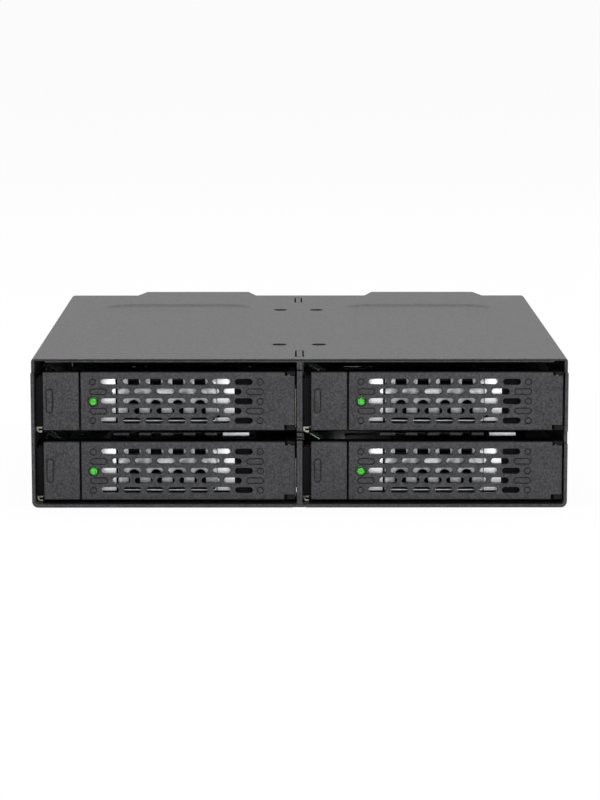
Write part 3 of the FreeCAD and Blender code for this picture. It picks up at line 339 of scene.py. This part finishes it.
def slug(centre, long, tall, deep, upright=False):
    """A bar with round ends, as a punch for a slot: a round bar whose two halves are moved apart."""
    near = 0.001 * mm
    piece = rod(centre, tall / 2, deep, "Y", 20)
    shift = (0, 0, (long - tall) / 2) if upright else ((long - tall) / 2, 0, 0)
    for side in (-1, 1):
        bpy.ops.object.mode_set(mode="EDIT")
        bpy.ops.mesh.select_all(action="DESELECT")
        bpy.ops.object.mode_set(mode="OBJECT")
        for vertex in piece.data.vertices:
            place = vertex.co.z - centre[2] if upright else vertex.co.x - centre[0]
            vertex.select = place * side > -near and (abs(place) > near or side > 0)
        bpy.ops.object.mode_set(mode="EDIT")
        bpy.ops.transform.translate(value=[s * side for s in shift])
        bpy.ops.object.mode_set(mode="OBJECT")
    return piece


def row_of(piece, count, pitch, rows=1, rise=0.0):
    """Repeats a piece to the right and upwards, as real geometry."""
    pick_only(piece)
    for name, number, step in (("across", count, (pitch, 0, 0)), ("up", rows, (0, 0, rise))):
        array = piece.modifiers.new(name, "ARRAY")
        array.count = number
        array.use_relative_offset = False
        array.use_constant_offset = True
        array.constant_offset_displace = step
        bpy.ops.object.modifier_apply(modifier=name)
    return piece


def outline(centre, long, tall, upright=False):
    """A punch for an engraved oblong line, 0.36 mm wide and 0.6 mm deep in the face."""
    line, deep = 0.36 * mm, 0.6 * mm
    return combine(slug(centre, long, tall, 2 * deep, upright),
                   slug(centre, long - 2 * line, tall - 2 * line, 3 * deep, upright), "DIFFERENCE")


lever = block((lever_left, 0, face_low), (face_right, face_thick, face_high))
round_edges(lever, 0.3 * mm, 3)
punches = []
for start, low, count, rows in ((seven_start, -2, 7, 3), (six_start, -1, 6, 2)):
    vent = slug((face_left + start, vent_mid, face_mid + low * vent_row), vent_long, vent_tall, vent_punch)
    punches.append(row_of(vent, count, vent_step, rows, 2 * vent_row))
punches.append(rod((lamp_x, past_face, face_mid), lamp_hole, lamp_punch, sides=40))
for start in (six_start - vent_step, six_start + 6 * vent_step):
    ring = outline((face_left + start, 0, face_mid - vent_row), vent_long, ring_tall)
    punches.append(row_of(ring, 1, 0, 2, 2 * vent_row))
for start, rows, rise in ((left_dots, 2, 4 * vent_row), (right_dots, 3, 2 * vent_row)):
    dot = outline((face_left + start, 0, face_mid - 2 * vent_row), dot_long, dot_tall)
    punches.append(row_of(dot, 1, 0, rows, rise))
punches.append(block((low_ear_left, -past_face, 0),
                     (face_right + past_face, face_thick + past_face, knuckle_low)))
punches.append(block((high_ear_left, -past_face, knuckle_high),
                     (face_right + past_face, face_thick + past_face, face_high + past_face)))
lever = combine(lever, joined(punches), "DIFFERENCE")
knuckle = rod((hinge_x, hinge_y, (knuckle_low + knuckle_high) / 2), hinge_y,
              knuckle_high - knuckle_low, "Z", 32)
lever = combine(lever, knuckle, "UNION")
hook = block((hook_left, face_thick - bite, face_mid - hook_half),
             (hook_right, hook_back, face_mid + hook_half))
barb = block((barb_left, barb_front, face_mid - hook_half), (barb_right, hook_back, face_mid + hook_half))
lever = combine(lever, combine(hook, barb, "UNION"), "UNION")
lever = combine(lever, rod((hinge_x, hinge_y, face_mid), pin_bore, bore_punch, "Z"), "DIFFERENCE")
round_edges(lever, 0.1 * mm, 2, 50)
tray_plastic = grained("spark_grained_abs", "1c1c1e", "404043", rough=0.5, grain=0.45 * mm,
                       relief_depth=0.05 * mm, shine=0.4)


def for_each_tray(piece, name, body, material, replaced):
    """Copies one tray's piece into all four bays, each copy with its own mesh."""
    for tray in TRAYS:
        twin = bpy.data.objects.new(name, piece.data.copy())
        bpy.context.collection.objects.link(twin)
        for vertex in twin.data.vertices:
            vertex.co += TRAY_PLACE[tray]
        finish(twin, name + "_" + tray, body + "_" + tray, material,
               [node + "_" + tray for node in replaced])
    bpy.data.objects.remove(piece)


for_each_tray(lever, "vented_lever", "lever", tray_plastic, ["lever"])


# Latch sliders: the narrow end of each face, in the same ABS. A thumb mark is engraved as an upright oblong
# ring, a stem behind runs in the tray's block, and a short catch on the stem meets the lever's hook.
mark_long, mark_tall = 6.9 * mm, 2.1 * mm
mark = (face_left + 1.75 * mm, 0, face_high - 7.85 * mm)
stem_left, stem_right, stem_back, stem_half = latch_right - 5 * mm, latch_right - 2 * mm, 8 * mm, 3 * mm
catch_front, catch_back, catch_half = 2.5 * mm, 3.8 * mm, 2 * mm
latch = block((face_left, 0, face_low), (latch_right, face_thick, face_high))
round_edges(latch, 0.3 * mm, 3)
latch = combine(latch, outline(mark, mark_long, mark_tall, upright=True), "DIFFERENCE")
stem = block((stem_left, face_thick - bite, face_mid - stem_half),
             (stem_right, stem_back, face_mid + stem_half))
latch = combine(latch, stem, "UNION")
catch = block((stem_right - bite, catch_front, face_mid - catch_half),
              (latch_right, catch_back, face_mid + catch_half))
latch = combine(latch, catch, "UNION")
round_edges(latch, 0.06 * mm, 2, 50)
for_each_tray(latch, "thumb_latch", "latch", tray_plastic, ["latch_slider"])


# Front plates: a nickel plated steel screen behind each lever. Its two ends stand forward and keep the bright
# plating, and a painted glow makes them show as even white; the punched middle is dulled and streaked by its
# forming.
plate_front, plate_back, plate_high = 2.6 * mm, 3.1 * mm, 16.1 * mm
middle_left, middle_right, middle_low = -13.2 * mm, 13.95 * mm, 3.1 * mm
window_half, first_window, window_count, window_step = 1.42 * mm, -8.8 * mm, 4, 6.03 * mm
lower_windows, upper_windows, window_punch = (4.0 * mm, 7.6 * mm), (12.5 * mm, 15.3 * mm), 5 * mm
slot_left, slot_right, slot_low, slot_high = -12.4 * mm, 13.2 * mm, 3.65 * mm, 4.45 * mm
ends_forward, ends_low = 0.35 * mm, 3.3 * mm
left_end, right_end = (-17.8 * mm, -13.68 * mm), (14.0 * mm, 18.7 * mm)
middle = block((middle_left, plate_front, middle_low), (middle_right, plate_back, plate_high))
windows = []
for low, high in (upper_windows, lower_windows):
    window = block((first_window - window_half, 0, low), (first_window + window_half, window_punch, high))
    windows.append(row_of(window, window_count, window_step))
arch = rod((first_window, window_punch / 2, lower_windows[1]), window_half, window_punch)
windows.append(row_of(arch, window_count, window_step))
windows.append(block((slot_left, 0, slot_low), (slot_right, window_punch, slot_high)))
middle = combine(middle, joined(windows), "DIFFERENCE")
round_edges(middle, 0.2 * mm, 3)
satin, tree = new_material("formed_nickel_plate")
where = add_node(tree, "ShaderNodeTexCoord").outputs["Object"]
drawn = add_node(tree, "ShaderNodeMapping", {"Scale": (0.25, 1, 1)}, {"Vector": where}).outputs[0]
streaks = add_node(tree, "ShaderNodeTexNoise", {"Scale": 1 / (0.35 * mm), "Detail": 3.0},
                   {"Vector": drawn}).outputs["Fac"]
sheen = add_node(tree, "ShaderNodeValToRGB", {"tones": ((0.3, "a4a6a7"), (0.7, "cdcfd0"))}, {"Fac": streaks})
skin = add_node(tree, "ShaderNodeBsdfPrincipled", {"Metallic": 1.0, "Roughness": 0.45},
                {"Base Color": sheen.outputs["Color"]})
add_node(tree, "ShaderNodeOutputMaterial", links={"Surface": skin.outputs[0]})
for_each_tray(middle, "plate_middle", "tray", satin, ["front_plate"])
ends = joined([block((low, plate_front - ends_forward, ends_low), (high, plate_back, plate_high))
               for low, high in (left_end, right_end)])
round_edges(ends, 0.08 * mm)
painted_glow_nickel, tree = new_material("bright_nickel_with_painted_glow")
# Painted light: a weak white emission makes the plate's ends glow evenly white, though the plate is no lamp.
skin = add_node(tree, "ShaderNodeBsdfPrincipled",
                {"Base Color": linear("fbfcfd"), "Metallic": 0.5, "Roughness": 0.3,
                 "Emission Color": linear("ffffff"), "Emission Strength": 0.12})
add_node(tree, "ShaderNodeOutputMaterial", links={"Surface": skin.outputs[0]})
for_each_tray(ends, "plate_ends", "tray", painted_glow_nickel, [])


# Earth clips: a strip of nickel plated spring steel on each shelf's wide foot, which wraps the sheet's
# front edge and earths the upper tray. It is pushed on and grips the sheet from both sides.
clip_left, clip_right, clip_front, clip_back = 15.45 * mm, 22.65 * mm, -70.25 * mm, -62 * mm
clip_wall = 0.1 * mm
clips = []
for side in SIDES:
    clip = block((BAY_X[side] + clip_left, clip_front, shelf_low - clip_wall),
                 (BAY_X[side] + clip_right, clip_back, shelf_high + clip_wall))
    round_edges(clip, 0.12 * mm)
    clips.append(clip)
finish(joined(clips), "earth_clips", "cage", satin)


# Bezels: the block moulded in black glass filled nylon behind each lever. It carries the latch, the light rod
# and the two hinge ears, and the drive's front end comes up against it. Its skin is duller than the face and
# painted near black, a painted shade for the dark slots, notch and gaps behind the lever.
# Painted shade: near-black tones, darker than the face, so the bezel reads as the shade inside the slots and
# gaps.
shade_black_nylon = grained("nylon_darkened_as_painted_shade", "050506", "101011", rough=0.65, grain=0.3 * mm,
                      relief_depth=0.03 * mm, shine=0.2)
for tray in TRAYS:
    finish(softened("tray_bezel_" + tray, 0.15 * mm), "latch_block_" + tray, "tray_" + tray,
           shade_black_nylon, ["tray_bezel_" + tray])


# Tray frames: a channel folded from 0.5 mm zinc plated steel, passivated to a faint straw tint, with the dull
# cloudy flakes that the plating dries to. A thin near-black plate laid over its front flange is painted
# shade. It keeps the gap beside the latch dark and without glints.
flake = 2.5 * mm
notch_near, notch_far = Vector((-33.9, 2.0, -1.0)) * mm, Vector((36.2, 9.5, 1.5)) * mm
flange_left, flange_right = -35.52 * mm, face_left + 0.12 * mm
flange_front, flange_back, flange_low, flange_high = 3.3 * mm, 3.42 * mm, 1.6 * mm, 15.05 * mm
zinc, tree = new_material("passivated_zinc_plate")
where = add_node(tree, "ShaderNodeTexCoord").outputs["Object"]
flakes = add_node(tree, "ShaderNodeTexVoronoi", {"Scale": 1 / flake}, {"Vector": where}).outputs["Color"]
straw = add_node(tree, "ShaderNodeValToRGB", {"tones": ((0.1, "8e8d84"), (0.9, "a9a89c"))}, {"Fac": flakes})
haze = add_node(tree, "ShaderNodeMapRange", {"To Min": 0.34, "To Max": 0.5}, {"Value": flakes})
skin = add_node(tree, "ShaderNodeBsdfPrincipled", {"Metallic": 1.0},
                {"Base Color": straw.outputs["Color"], "Roughness": haze.outputs[0]})
add_node(tree, "ShaderNodeOutputMaterial", links={"Surface": skin.outputs[0]})
for tray in TRAYS:
    channel = softened("tray_frame_" + tray, 0.06 * mm)
    notch = block(TRAY_PLACE[tray] + notch_near, TRAY_PLACE[tray] + notch_far)
    channel = combine(channel, notch, "DIFFERENCE")
    finish(channel, "steel_channel_" + tray, "tray_" + tray, zinc, ["tray_frame_" + tray])
# Painted shade: a thin near-black plate over the flange's front, where the gap beside the latch lies in
# shade.
flange = block((flange_left, flange_front, flange_low), (flange_right, flange_back, flange_high))
round_edges(flange, 0.04 * mm)
for_each_tray(flange, "painted_shade_flange", "tray", shade_black_nylon, [])


# Light rods: clear cast acrylic that carries the lamp's light from the board, over the tray's side, to the
# face. The rod itself stays clear, and only its domed tip shows lit: a bright core in a deep green rim.
acrylic_ior = 1.49
rim_radius, rim_mid, rim_long = 1.42 * mm, 0.7 * mm, 1.0 * mm
core_radius, core_mid, core_long, core_drop = 0.98 * mm, 0.45 * mm, 0.7 * mm, 0.12 * mm
acrylic, tree = new_material("clear_cast_acrylic")
where = add_node(tree, "ShaderNodeTexCoord").outputs["Object"]
waves = add_node(tree, "ShaderNodeTexNoise", {"Scale": 1 / (3 * mm), "Detail": 1.0},
                 {"Vector": where}).outputs["Fac"]
tint = add_node(tree, "ShaderNodeValToRGB", {"tones": ((0.3, "cfe3d2"), (0.7, "e4efe5"))}, {"Fac": waves})
skin = add_node(tree, "ShaderNodeBsdfPrincipled",
                {"Roughness": 0.08, "IOR": acrylic_ior, "Transmission Weight": 0.9},
                {"Base Color": tint.outputs["Color"]})
add_node(tree, "ShaderNodeOutputMaterial", links={"Surface": skin.outputs[0]})


def lit(name, dim, painted_glow_nickel, strength, speck):
    """Acrylic that glows from within, a little uneven as the light in it is."""
    material, tree = new_material(name)
    where = add_node(tree, "ShaderNodeTexCoord").outputs["Object"]
    spots = add_node(tree, "ShaderNodeTexNoise", {"Scale": 1 / speck, "Detail": 1.0},
                     {"Vector": where}).outputs["Fac"]
    shine = add_node(tree, "ShaderNodeValToRGB", {"tones": ((0.4, dim), (0.62, painted_glow_nickel))}, {"Fac": spots})
    skin = add_node(tree, "ShaderNodeBsdfPrincipled",
                    {"Base Color": linear(dim), "Roughness": 0.12, "IOR": acrylic_ior,
                     "Emission Strength": strength},
                    {"Emission Color": shine.outputs["Color"]})
    add_node(tree, "ShaderNodeOutputMaterial", links={"Surface": skin.outputs[0]})
    return material


for tray in TRAYS:
    finish(softened("light_pipe_" + tray, 0.1 * mm), "light_rod_" + tray, "tray_" + tray,
           acrylic, ["light_pipe_" + tray])
deep_green = lit("lit_acrylic_rim", "031203", "0a5a06", 0.8, 1.0 * mm)
rim = rod((lamp_x, rim_mid, face_mid), rim_radius, rim_long, sides=40)
round_edges(rim, 0.3 * mm, 4)
for_each_tray(rim, "lit_rim", "tray", deep_green, [])
bright_green = lit("lit_acrylic_core", "1a7a0e", "4fd334", 0.78, 0.5 * mm)
core = rod((lamp_x, core_mid, face_mid - core_drop), core_radius, core_long, sides=40)
round_edges(core, 0.3 * mm, 4)
for_each_tray(core, "lit_core", "tray", bright_green, [])


# Status lamps: four small lamps soldered to the board, one at the end of each light rod. Each has a cast
# lens that its chip lights from behind.
lamp_lens = lit("lit_lamp_lens", "1d7d14", "49c936", 0.8, 0.5 * mm)
finish(softened("status_lamps", 0.08 * mm), "lamp_lenses", "cage", lamp_lens, ["status_lamps"])


# Hinge pins and latch springs: short drawn steel pins and coils of flat spring wire, both bright zinc
# plated, with the fine lengthwise streaks that drawing leaves.
drawn_steel, tree = new_material("drawn_steel")
where = add_node(tree, "ShaderNodeTexCoord").outputs["Object"]
along = add_node(tree, "ShaderNodeMapping", {"Scale": (1, 1, 0.1)}, {"Vector": where}).outputs[0]
streaks = add_node(tree, "ShaderNodeTexNoise", {"Scale": 1 / (0.2 * mm), "Detail": 3.0},
                   {"Vector": along}).outputs["Fac"]
sheen = add_node(tree, "ShaderNodeValToRGB", {"tones": ((0.3, "8f9193"), (0.7, "bfc1c3"))}, {"Fac": streaks})
skin = add_node(tree, "ShaderNodeBsdfPrincipled", {"Metallic": 1.0, "Roughness": 0.32},
                {"Base Color": sheen.outputs["Color"]})
add_node(tree, "ShaderNodeOutputMaterial", links={"Surface": skin.outputs[0]})
for tray in TRAYS:
    finish(softened("hinge_pin_" + tray, 0.12 * mm), "pivot_pin_" + tray, "tray_" + tray,
           drawn_steel, ["hinge_pin_" + tray])
    finish(softened("latch_spring_" + tray, 0.05 * mm), "coil_spring_" + tray, "tray_" + tray,
           drawn_steel, ["latch_spring_" + tray])


# Backplane: a 1.6 mm glass epoxy board under green solder mask. Copper tracks run up and down or across in
# patches beneath the mask and show as paler lines, and the woven glass gives the green a faint mottle.
track_patch, track_pitch = 9 * mm, 0.45 * mm
track_from, track_full, track_relief = 0.2 * mm, 0.26 * mm, 0.04 * mm
mask, tree = new_material("green_solder_mask")
where = add_node(tree, "ShaderNodeTexCoord").outputs["Object"]
apart = add_node(tree, "ShaderNodeSeparateXYZ", links={"Vector": where})
patches = add_node(tree, "ShaderNodeTexVoronoi", {"Scale": 1 / track_patch, "distance": "CHEBYCHEV"},
                   {"Vector": where}).outputs["Color"]
turn = add_node(tree, "ShaderNodeMath", {"operation": "GREATER_THAN", 1: 0.5}, {0: patches})
run = add_node(tree, "ShaderNodeMix", {"data_type": "FLOAT"},
               {0: turn.outputs[0], 2: apart.outputs["X"], 3: apart.outputs["Z"]})
lines = add_node(tree, "ShaderNodeMath", {"operation": "PINGPONG", 1: track_pitch}, {0: run.outputs[0]})
track = add_node(tree, "ShaderNodeMapRange", {"From Min": track_from, "From Max": track_full},
                 {"Value": lines.outputs[0]}).outputs[0]
glass = add_node(tree, "ShaderNodeTexNoise", {"Scale": 1 / (0.8 * mm)}, {"Vector": where}).outputs["Fac"]
amount = add_node(tree, "ShaderNodeMath", {"operation": "MULTIPLY"}, {0: track, 1: glass})
green = add_node(tree, "ShaderNodeValToRGB", {"tones": ((0.0, "0e3a22"), (0.6, "1f6238"))},
                 {"Fac": amount.outputs[0]})
raised = add_node(tree, "ShaderNodeBump", {"Strength": 0.6, "Distance": track_relief}, {"Height": track})
skin = add_node(tree, "ShaderNodeBsdfPrincipled", {"Roughness": 0.28},
                {"Base Color": green.outputs["Color"], "Normal": raised.outputs[0]})
add_node(tree, "ShaderNodeOutputMaterial", links={"Surface": skin.outputs[0]})
finish(softened("backplane_board"), "masked_board", "cage", mask, ["backplane_board"])


# Connectors: receptacles for the drives on the board's front and shrouded plug sockets on its back, all
# moulded in black liquid crystal polymer.
moulding = grained("black_moulded_lcp", "111112", "232325", rough=0.42, grain=0.25 * mm,
                   relief_depth=0.02 * mm)
for node in ["drive_connector_" + tray for tray in TRAYS] + ["data_ports", "power_ports"]:
    finish(softened(node, 0.1 * mm), node + "_moulding", "cage", moulding, [node])


# Contacts: strips of copper alloy, stamped, gold plated and pressed into each connector's tongue in rows,
# with the plating slightly darker where plugs have wiped it.
contact_pitch, contact_half, contact_edge = 1.27 * mm, 0.22 * mm, 0.05 * mm
drive_rows = ((-17.6 * mm, 7), (-4.0 * mm, 15))
drive_front, drive_back, drive_low, drive_high = 0.6 * mm, 5.9 * mm, 2.52 * mm, 2.72 * mm
socket_outer, socket_inner = 0.26 * mm, 0.06 * mm
socket_deep, socket_shallow, socket_drop = 9.5 * mm, 2.0 * mm, 0.5 * mm
SOCKETS = {"data_ports": (7, (-3.0 * mm, 3.0 * mm), (-7.1 * mm, 7.1 * mm)),
           "power_ports": (15, (-3.3 * mm, 3.3 * mm), (0,))}
gold, tree = new_material("gold_plated_contact")
where = add_node(tree, "ShaderNodeTexCoord").outputs["Object"]
wiped = add_node(tree, "ShaderNodeTexNoise", {"Scale": 1 / (0.3 * mm)}, {"Vector": where}).outputs["Fac"]
yellow = add_node(tree, "ShaderNodeValToRGB", {"tones": ((0.35, "d9ab4a"), (0.65, "efc76b"))}, {"Fac": wiped})
skin = add_node(tree, "ShaderNodeBsdfPrincipled", {"Metallic": 1.0, "Roughness": 0.25},
                {"Base Color": yellow.outputs["Color"]})
add_node(tree, "ShaderNodeOutputMaterial", links={"Surface": skin.outputs[0]})
contacts = []
for tray in TRAYS:
    low, high = (Vector(corner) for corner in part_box("drive_connector_" + tray))
    for first, count in drive_rows:
        first_x = (low.x + high.x) / 2 + first
        blade = block((first_x - contact_half, low.y + drive_front, low.z + drive_low),
                      (first_x + contact_half, low.y + drive_back, low.z + drive_high))
        round_edges(blade, contact_edge, 1)
        contacts.append(row_of(blade, count, contact_pitch))
for node, (count, columns, rows) in SOCKETS.items():
    low, high = (Vector(corner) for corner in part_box(node))
    for x in columns:
        for z in rows:
            centre = Vector(((low.x + high.x) / 2 + x, high.y, (low.z + high.z) / 2 + z))
            lowest = centre.z - (count - 1) / 2 * contact_pitch - socket_drop
            blade = block((centre.x - socket_outer, centre.y - socket_deep, lowest - contact_half),
                          (centre.x - socket_inner, centre.y - socket_shallow, lowest + contact_half))
            round_edges(blade, contact_edge, 1)
            contacts.append(row_of(blade, 1, 0, count, contact_pitch))
finish(joined(contacts), "gold_contacts", "cage", gold)


# Standoffs and board screws: hexagon bars turned from free cutting steel and zinc plated, and pan head
# screws with a cross recess that hold the board to them.
screw_inset, screw_long = 2.4 * mm, 1.6 * mm
finish(softened("board_standoffs", 0.15 * mm), "turned_standoffs", "cage", zinc,
       ["board_standoffs"])


def screw(radius, high, core, long, recess):
    """A pan head screw with a cross recess, its head's seat at the origin and its head towards +Y."""
    dome_share, arm_share, recess_from, recess_to, overlap = 0.55, 0.24, 0.45, 1.2, 0.05 * mm
    head = rod((0, high / 2, 0), radius, high, sides=40)
    pick_only(head)
    dome = head.modifiers.new("dome", "BEVEL")
    dome.width = high * dome_share
    dome.segments = 5
    dome.limit_method = "ANGLE"
    dome.angle_limit = radians(60)
    bpy.ops.object.modifier_apply(modifier="dome")
    arms = [block((-x, high * recess_from, -z), (x, high * recess_to, z))
            for x, z in ((recess, recess * arm_share), (recess * arm_share, recess))]
    cross = combine(arms[0], arms[1], "UNION")
    head = combine(head, cross, "DIFFERENCE")
    round_edges(head, 0.05 * mm, 1, 50)
    shank = rod((0, -long / 2 + overlap, 0), core, long, sides=20)
    return combine(head, shank, "UNION")


def placed(pattern, places, facing=1):
    """The same screw at several places, as one mesh. Its head faces +Y, or -Y when turned round."""
    twins = []
    for place in places:
        twin = bpy.data.objects.new("twin", pattern.data.copy())
        bpy.context.collection.objects.link(twin)
        for vertex in twin.data.vertices:
            x, y, z = vertex.co
            vertex.co = Vector((x * facing, y * facing, z)) + Vector(place)
        twins.append(twin)
    bpy.data.objects.remove(pattern)
    return joined(twins)


low, high = (Vector(corner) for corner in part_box("board_screws"))
board_screw = screw(radius=2.4 * mm, high=1.3 * mm, core=1.4 * mm, long=screw_long, recess=1.3 * mm)
seats = [(x, high.y - screw_long, z) for x in (low.x + screw_inset, high.x - screw_inset)
         for z in (low.z + screw_inset, high.z - screw_inset)]
board_screws = placed(board_screw, seats, facing=-1)
finish(board_screws, "board_pan_screws", "cage", drawn_steel, ["board_screws"])


# Fans: a frame and a rotor moulded in black glass filled PBT, which gives a satin skin with a fine flow
# grain. The rotor has seven swept blades on a hub with a rounded nose, and turns on a shaft in the frame's
# middle.
fan_shift, fan_height = 3.9 * mm, 20.3 * mm
FAN_X = {side: BAY_X[side] + fan_shift for side in SIDES}
hub_radius, hub_long, hub_nose = 7.6 * mm, 7.4 * mm, 0.9 * mm
blade_count, blade_long, blade_wide, blade_root = 7, 9.9 * mm, 9.2 * mm, 7 * mm
blade_mid, blade_wall, blade_camber = 3.9 * mm, 0.7 * mm, 0.5 * mm
pbt = grained("black_glass_filled_pbt", "161618", "29292b", rough=0.45, grain=0.4 * mm,
              relief_depth=0.02 * mm)
for side in SIDES:
    finish(softened("fan_frame_" + side, 0.25 * mm), "fan_housing_" + side, "cage", pbt,
           ["fan_frame_" + side])
for side in SIDES:
    front_y = Vector(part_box("fan_rotor_" + side)[0]).y
    hub = rod((FAN_X[side], front_y + hub_long / 2, fan_height), hub_radius, hub_long, sides=64)
    round_edges(hub, hub_nose, 4)
    blades = []
    for number in range(blade_count):
        bpy.ops.object.select_all(action="DESELECT")
        bpy.ops.mesh.primitive_grid_add(x_subdivisions=12, y_subdivisions=10, size=1)
        blade = bpy.context.object
        blade.data.transform(Matrix.Diagonal((blade_long, blade_wide, 1, 1)))
        for vertex in blade.data.vertices:
            out, across = vertex.co.x + blade_root + blade_long / 2, vertex.co.y
            share = (out - blade_root) / blade_long
            spread, slope, sweep = 1.05 - 0.12 * share, 0.66 - 0.1 * share, 0.35 * share * share
            turn = across / blade_wide * spread + sweep + number * 2 * pi / blade_count
            rise = blade_mid + across * slope - blade_camber * (1 - (across / (blade_wide / 2)) ** 2)
            vertex.co = (FAN_X[side] + out * sin(turn), front_y + rise, fan_height + out * cos(turn))
        pick_only(blade)
        wall = blade.modifiers.new("wall", "SOLIDIFY")
        wall.thickness = blade_wall
        wall.offset = 0
        bpy.ops.object.modifier_apply(modifier="wall")
        bpy.ops.object.mode_set(mode="EDIT")
        bpy.ops.mesh.select_all(action="SELECT")
        bpy.ops.mesh.normals_make_consistent(inside=False)
        bpy.ops.object.mode_set(mode="OBJECT")
        round_edges(blade, 0.15 * mm, 1, 60)
        blades.append(blade)
    wheel = joined([hub] + blades)
    finish(wheel, "seven_blade_rotor_" + side, "fan_" + side, pbt, ["fan_rotor_" + side])


# Fan screws: self-tapping steel screws with a black oxide finish, one through each corner of a fan's frame
# into the rear panel.
fan_back, corner_offset = 84 * mm, 16 * mm
oxide = grained("black_oxide_steel", "0f0f10", "1d1d1f", rough=0.38, grain=0.3 * mm, relief_depth=0.01 * mm)
fan_screw = screw(radius=2.6 * mm, high=1.2 * mm, core=1.4 * mm, long=10.9 * mm, recess=1.4 * mm)
corners = [(FAN_X[side] + i * corner_offset, fan_back, fan_height + j * corner_offset)
           for side in SIDES for i in (-1, 1) for j in (-1, 1)]
fan_screws = placed(fan_screw, corners)
finish(fan_screws, "fan_self_tappers", "cage", oxide, ["fan_screws"])


# Lid screws: steel screws with a deep round socket, blackened in an oxide bath and drawn down just below
# the lid, so that only dark holes show from the front.
screw_top = lid_top - 0.06 * mm
head_high, head_play, socket_wall, socket_punch = 1.1 * mm, 0.02 * mm, 0.2 * mm, 1.8 * mm
shank_radius, shank_top = 1.2 * mm, screw_top - 1 * mm
shank_low = Vector(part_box("cover_screws")[0]).z
lid_screws = []
for x, y in LID_SCREWS:
    head = rod((x, y, screw_top - head_high / 2), hole_radius - head_play, head_high, "Z", 48)
    socket = rod((x, y, screw_top), hole_radius - socket_wall, socket_punch, "Z", 48)
    head = combine(head, socket, "DIFFERENCE")
    round_edges(head, 0.03 * mm, 1, 30)
    lid_screws += [head, rod((x, y, (shank_low + shank_top) / 2), shank_radius, shank_top - shank_low, "Z")]
finish(joined(lid_screws), "lid_socket_screws", "cage", oxide, ["cover_screws"])
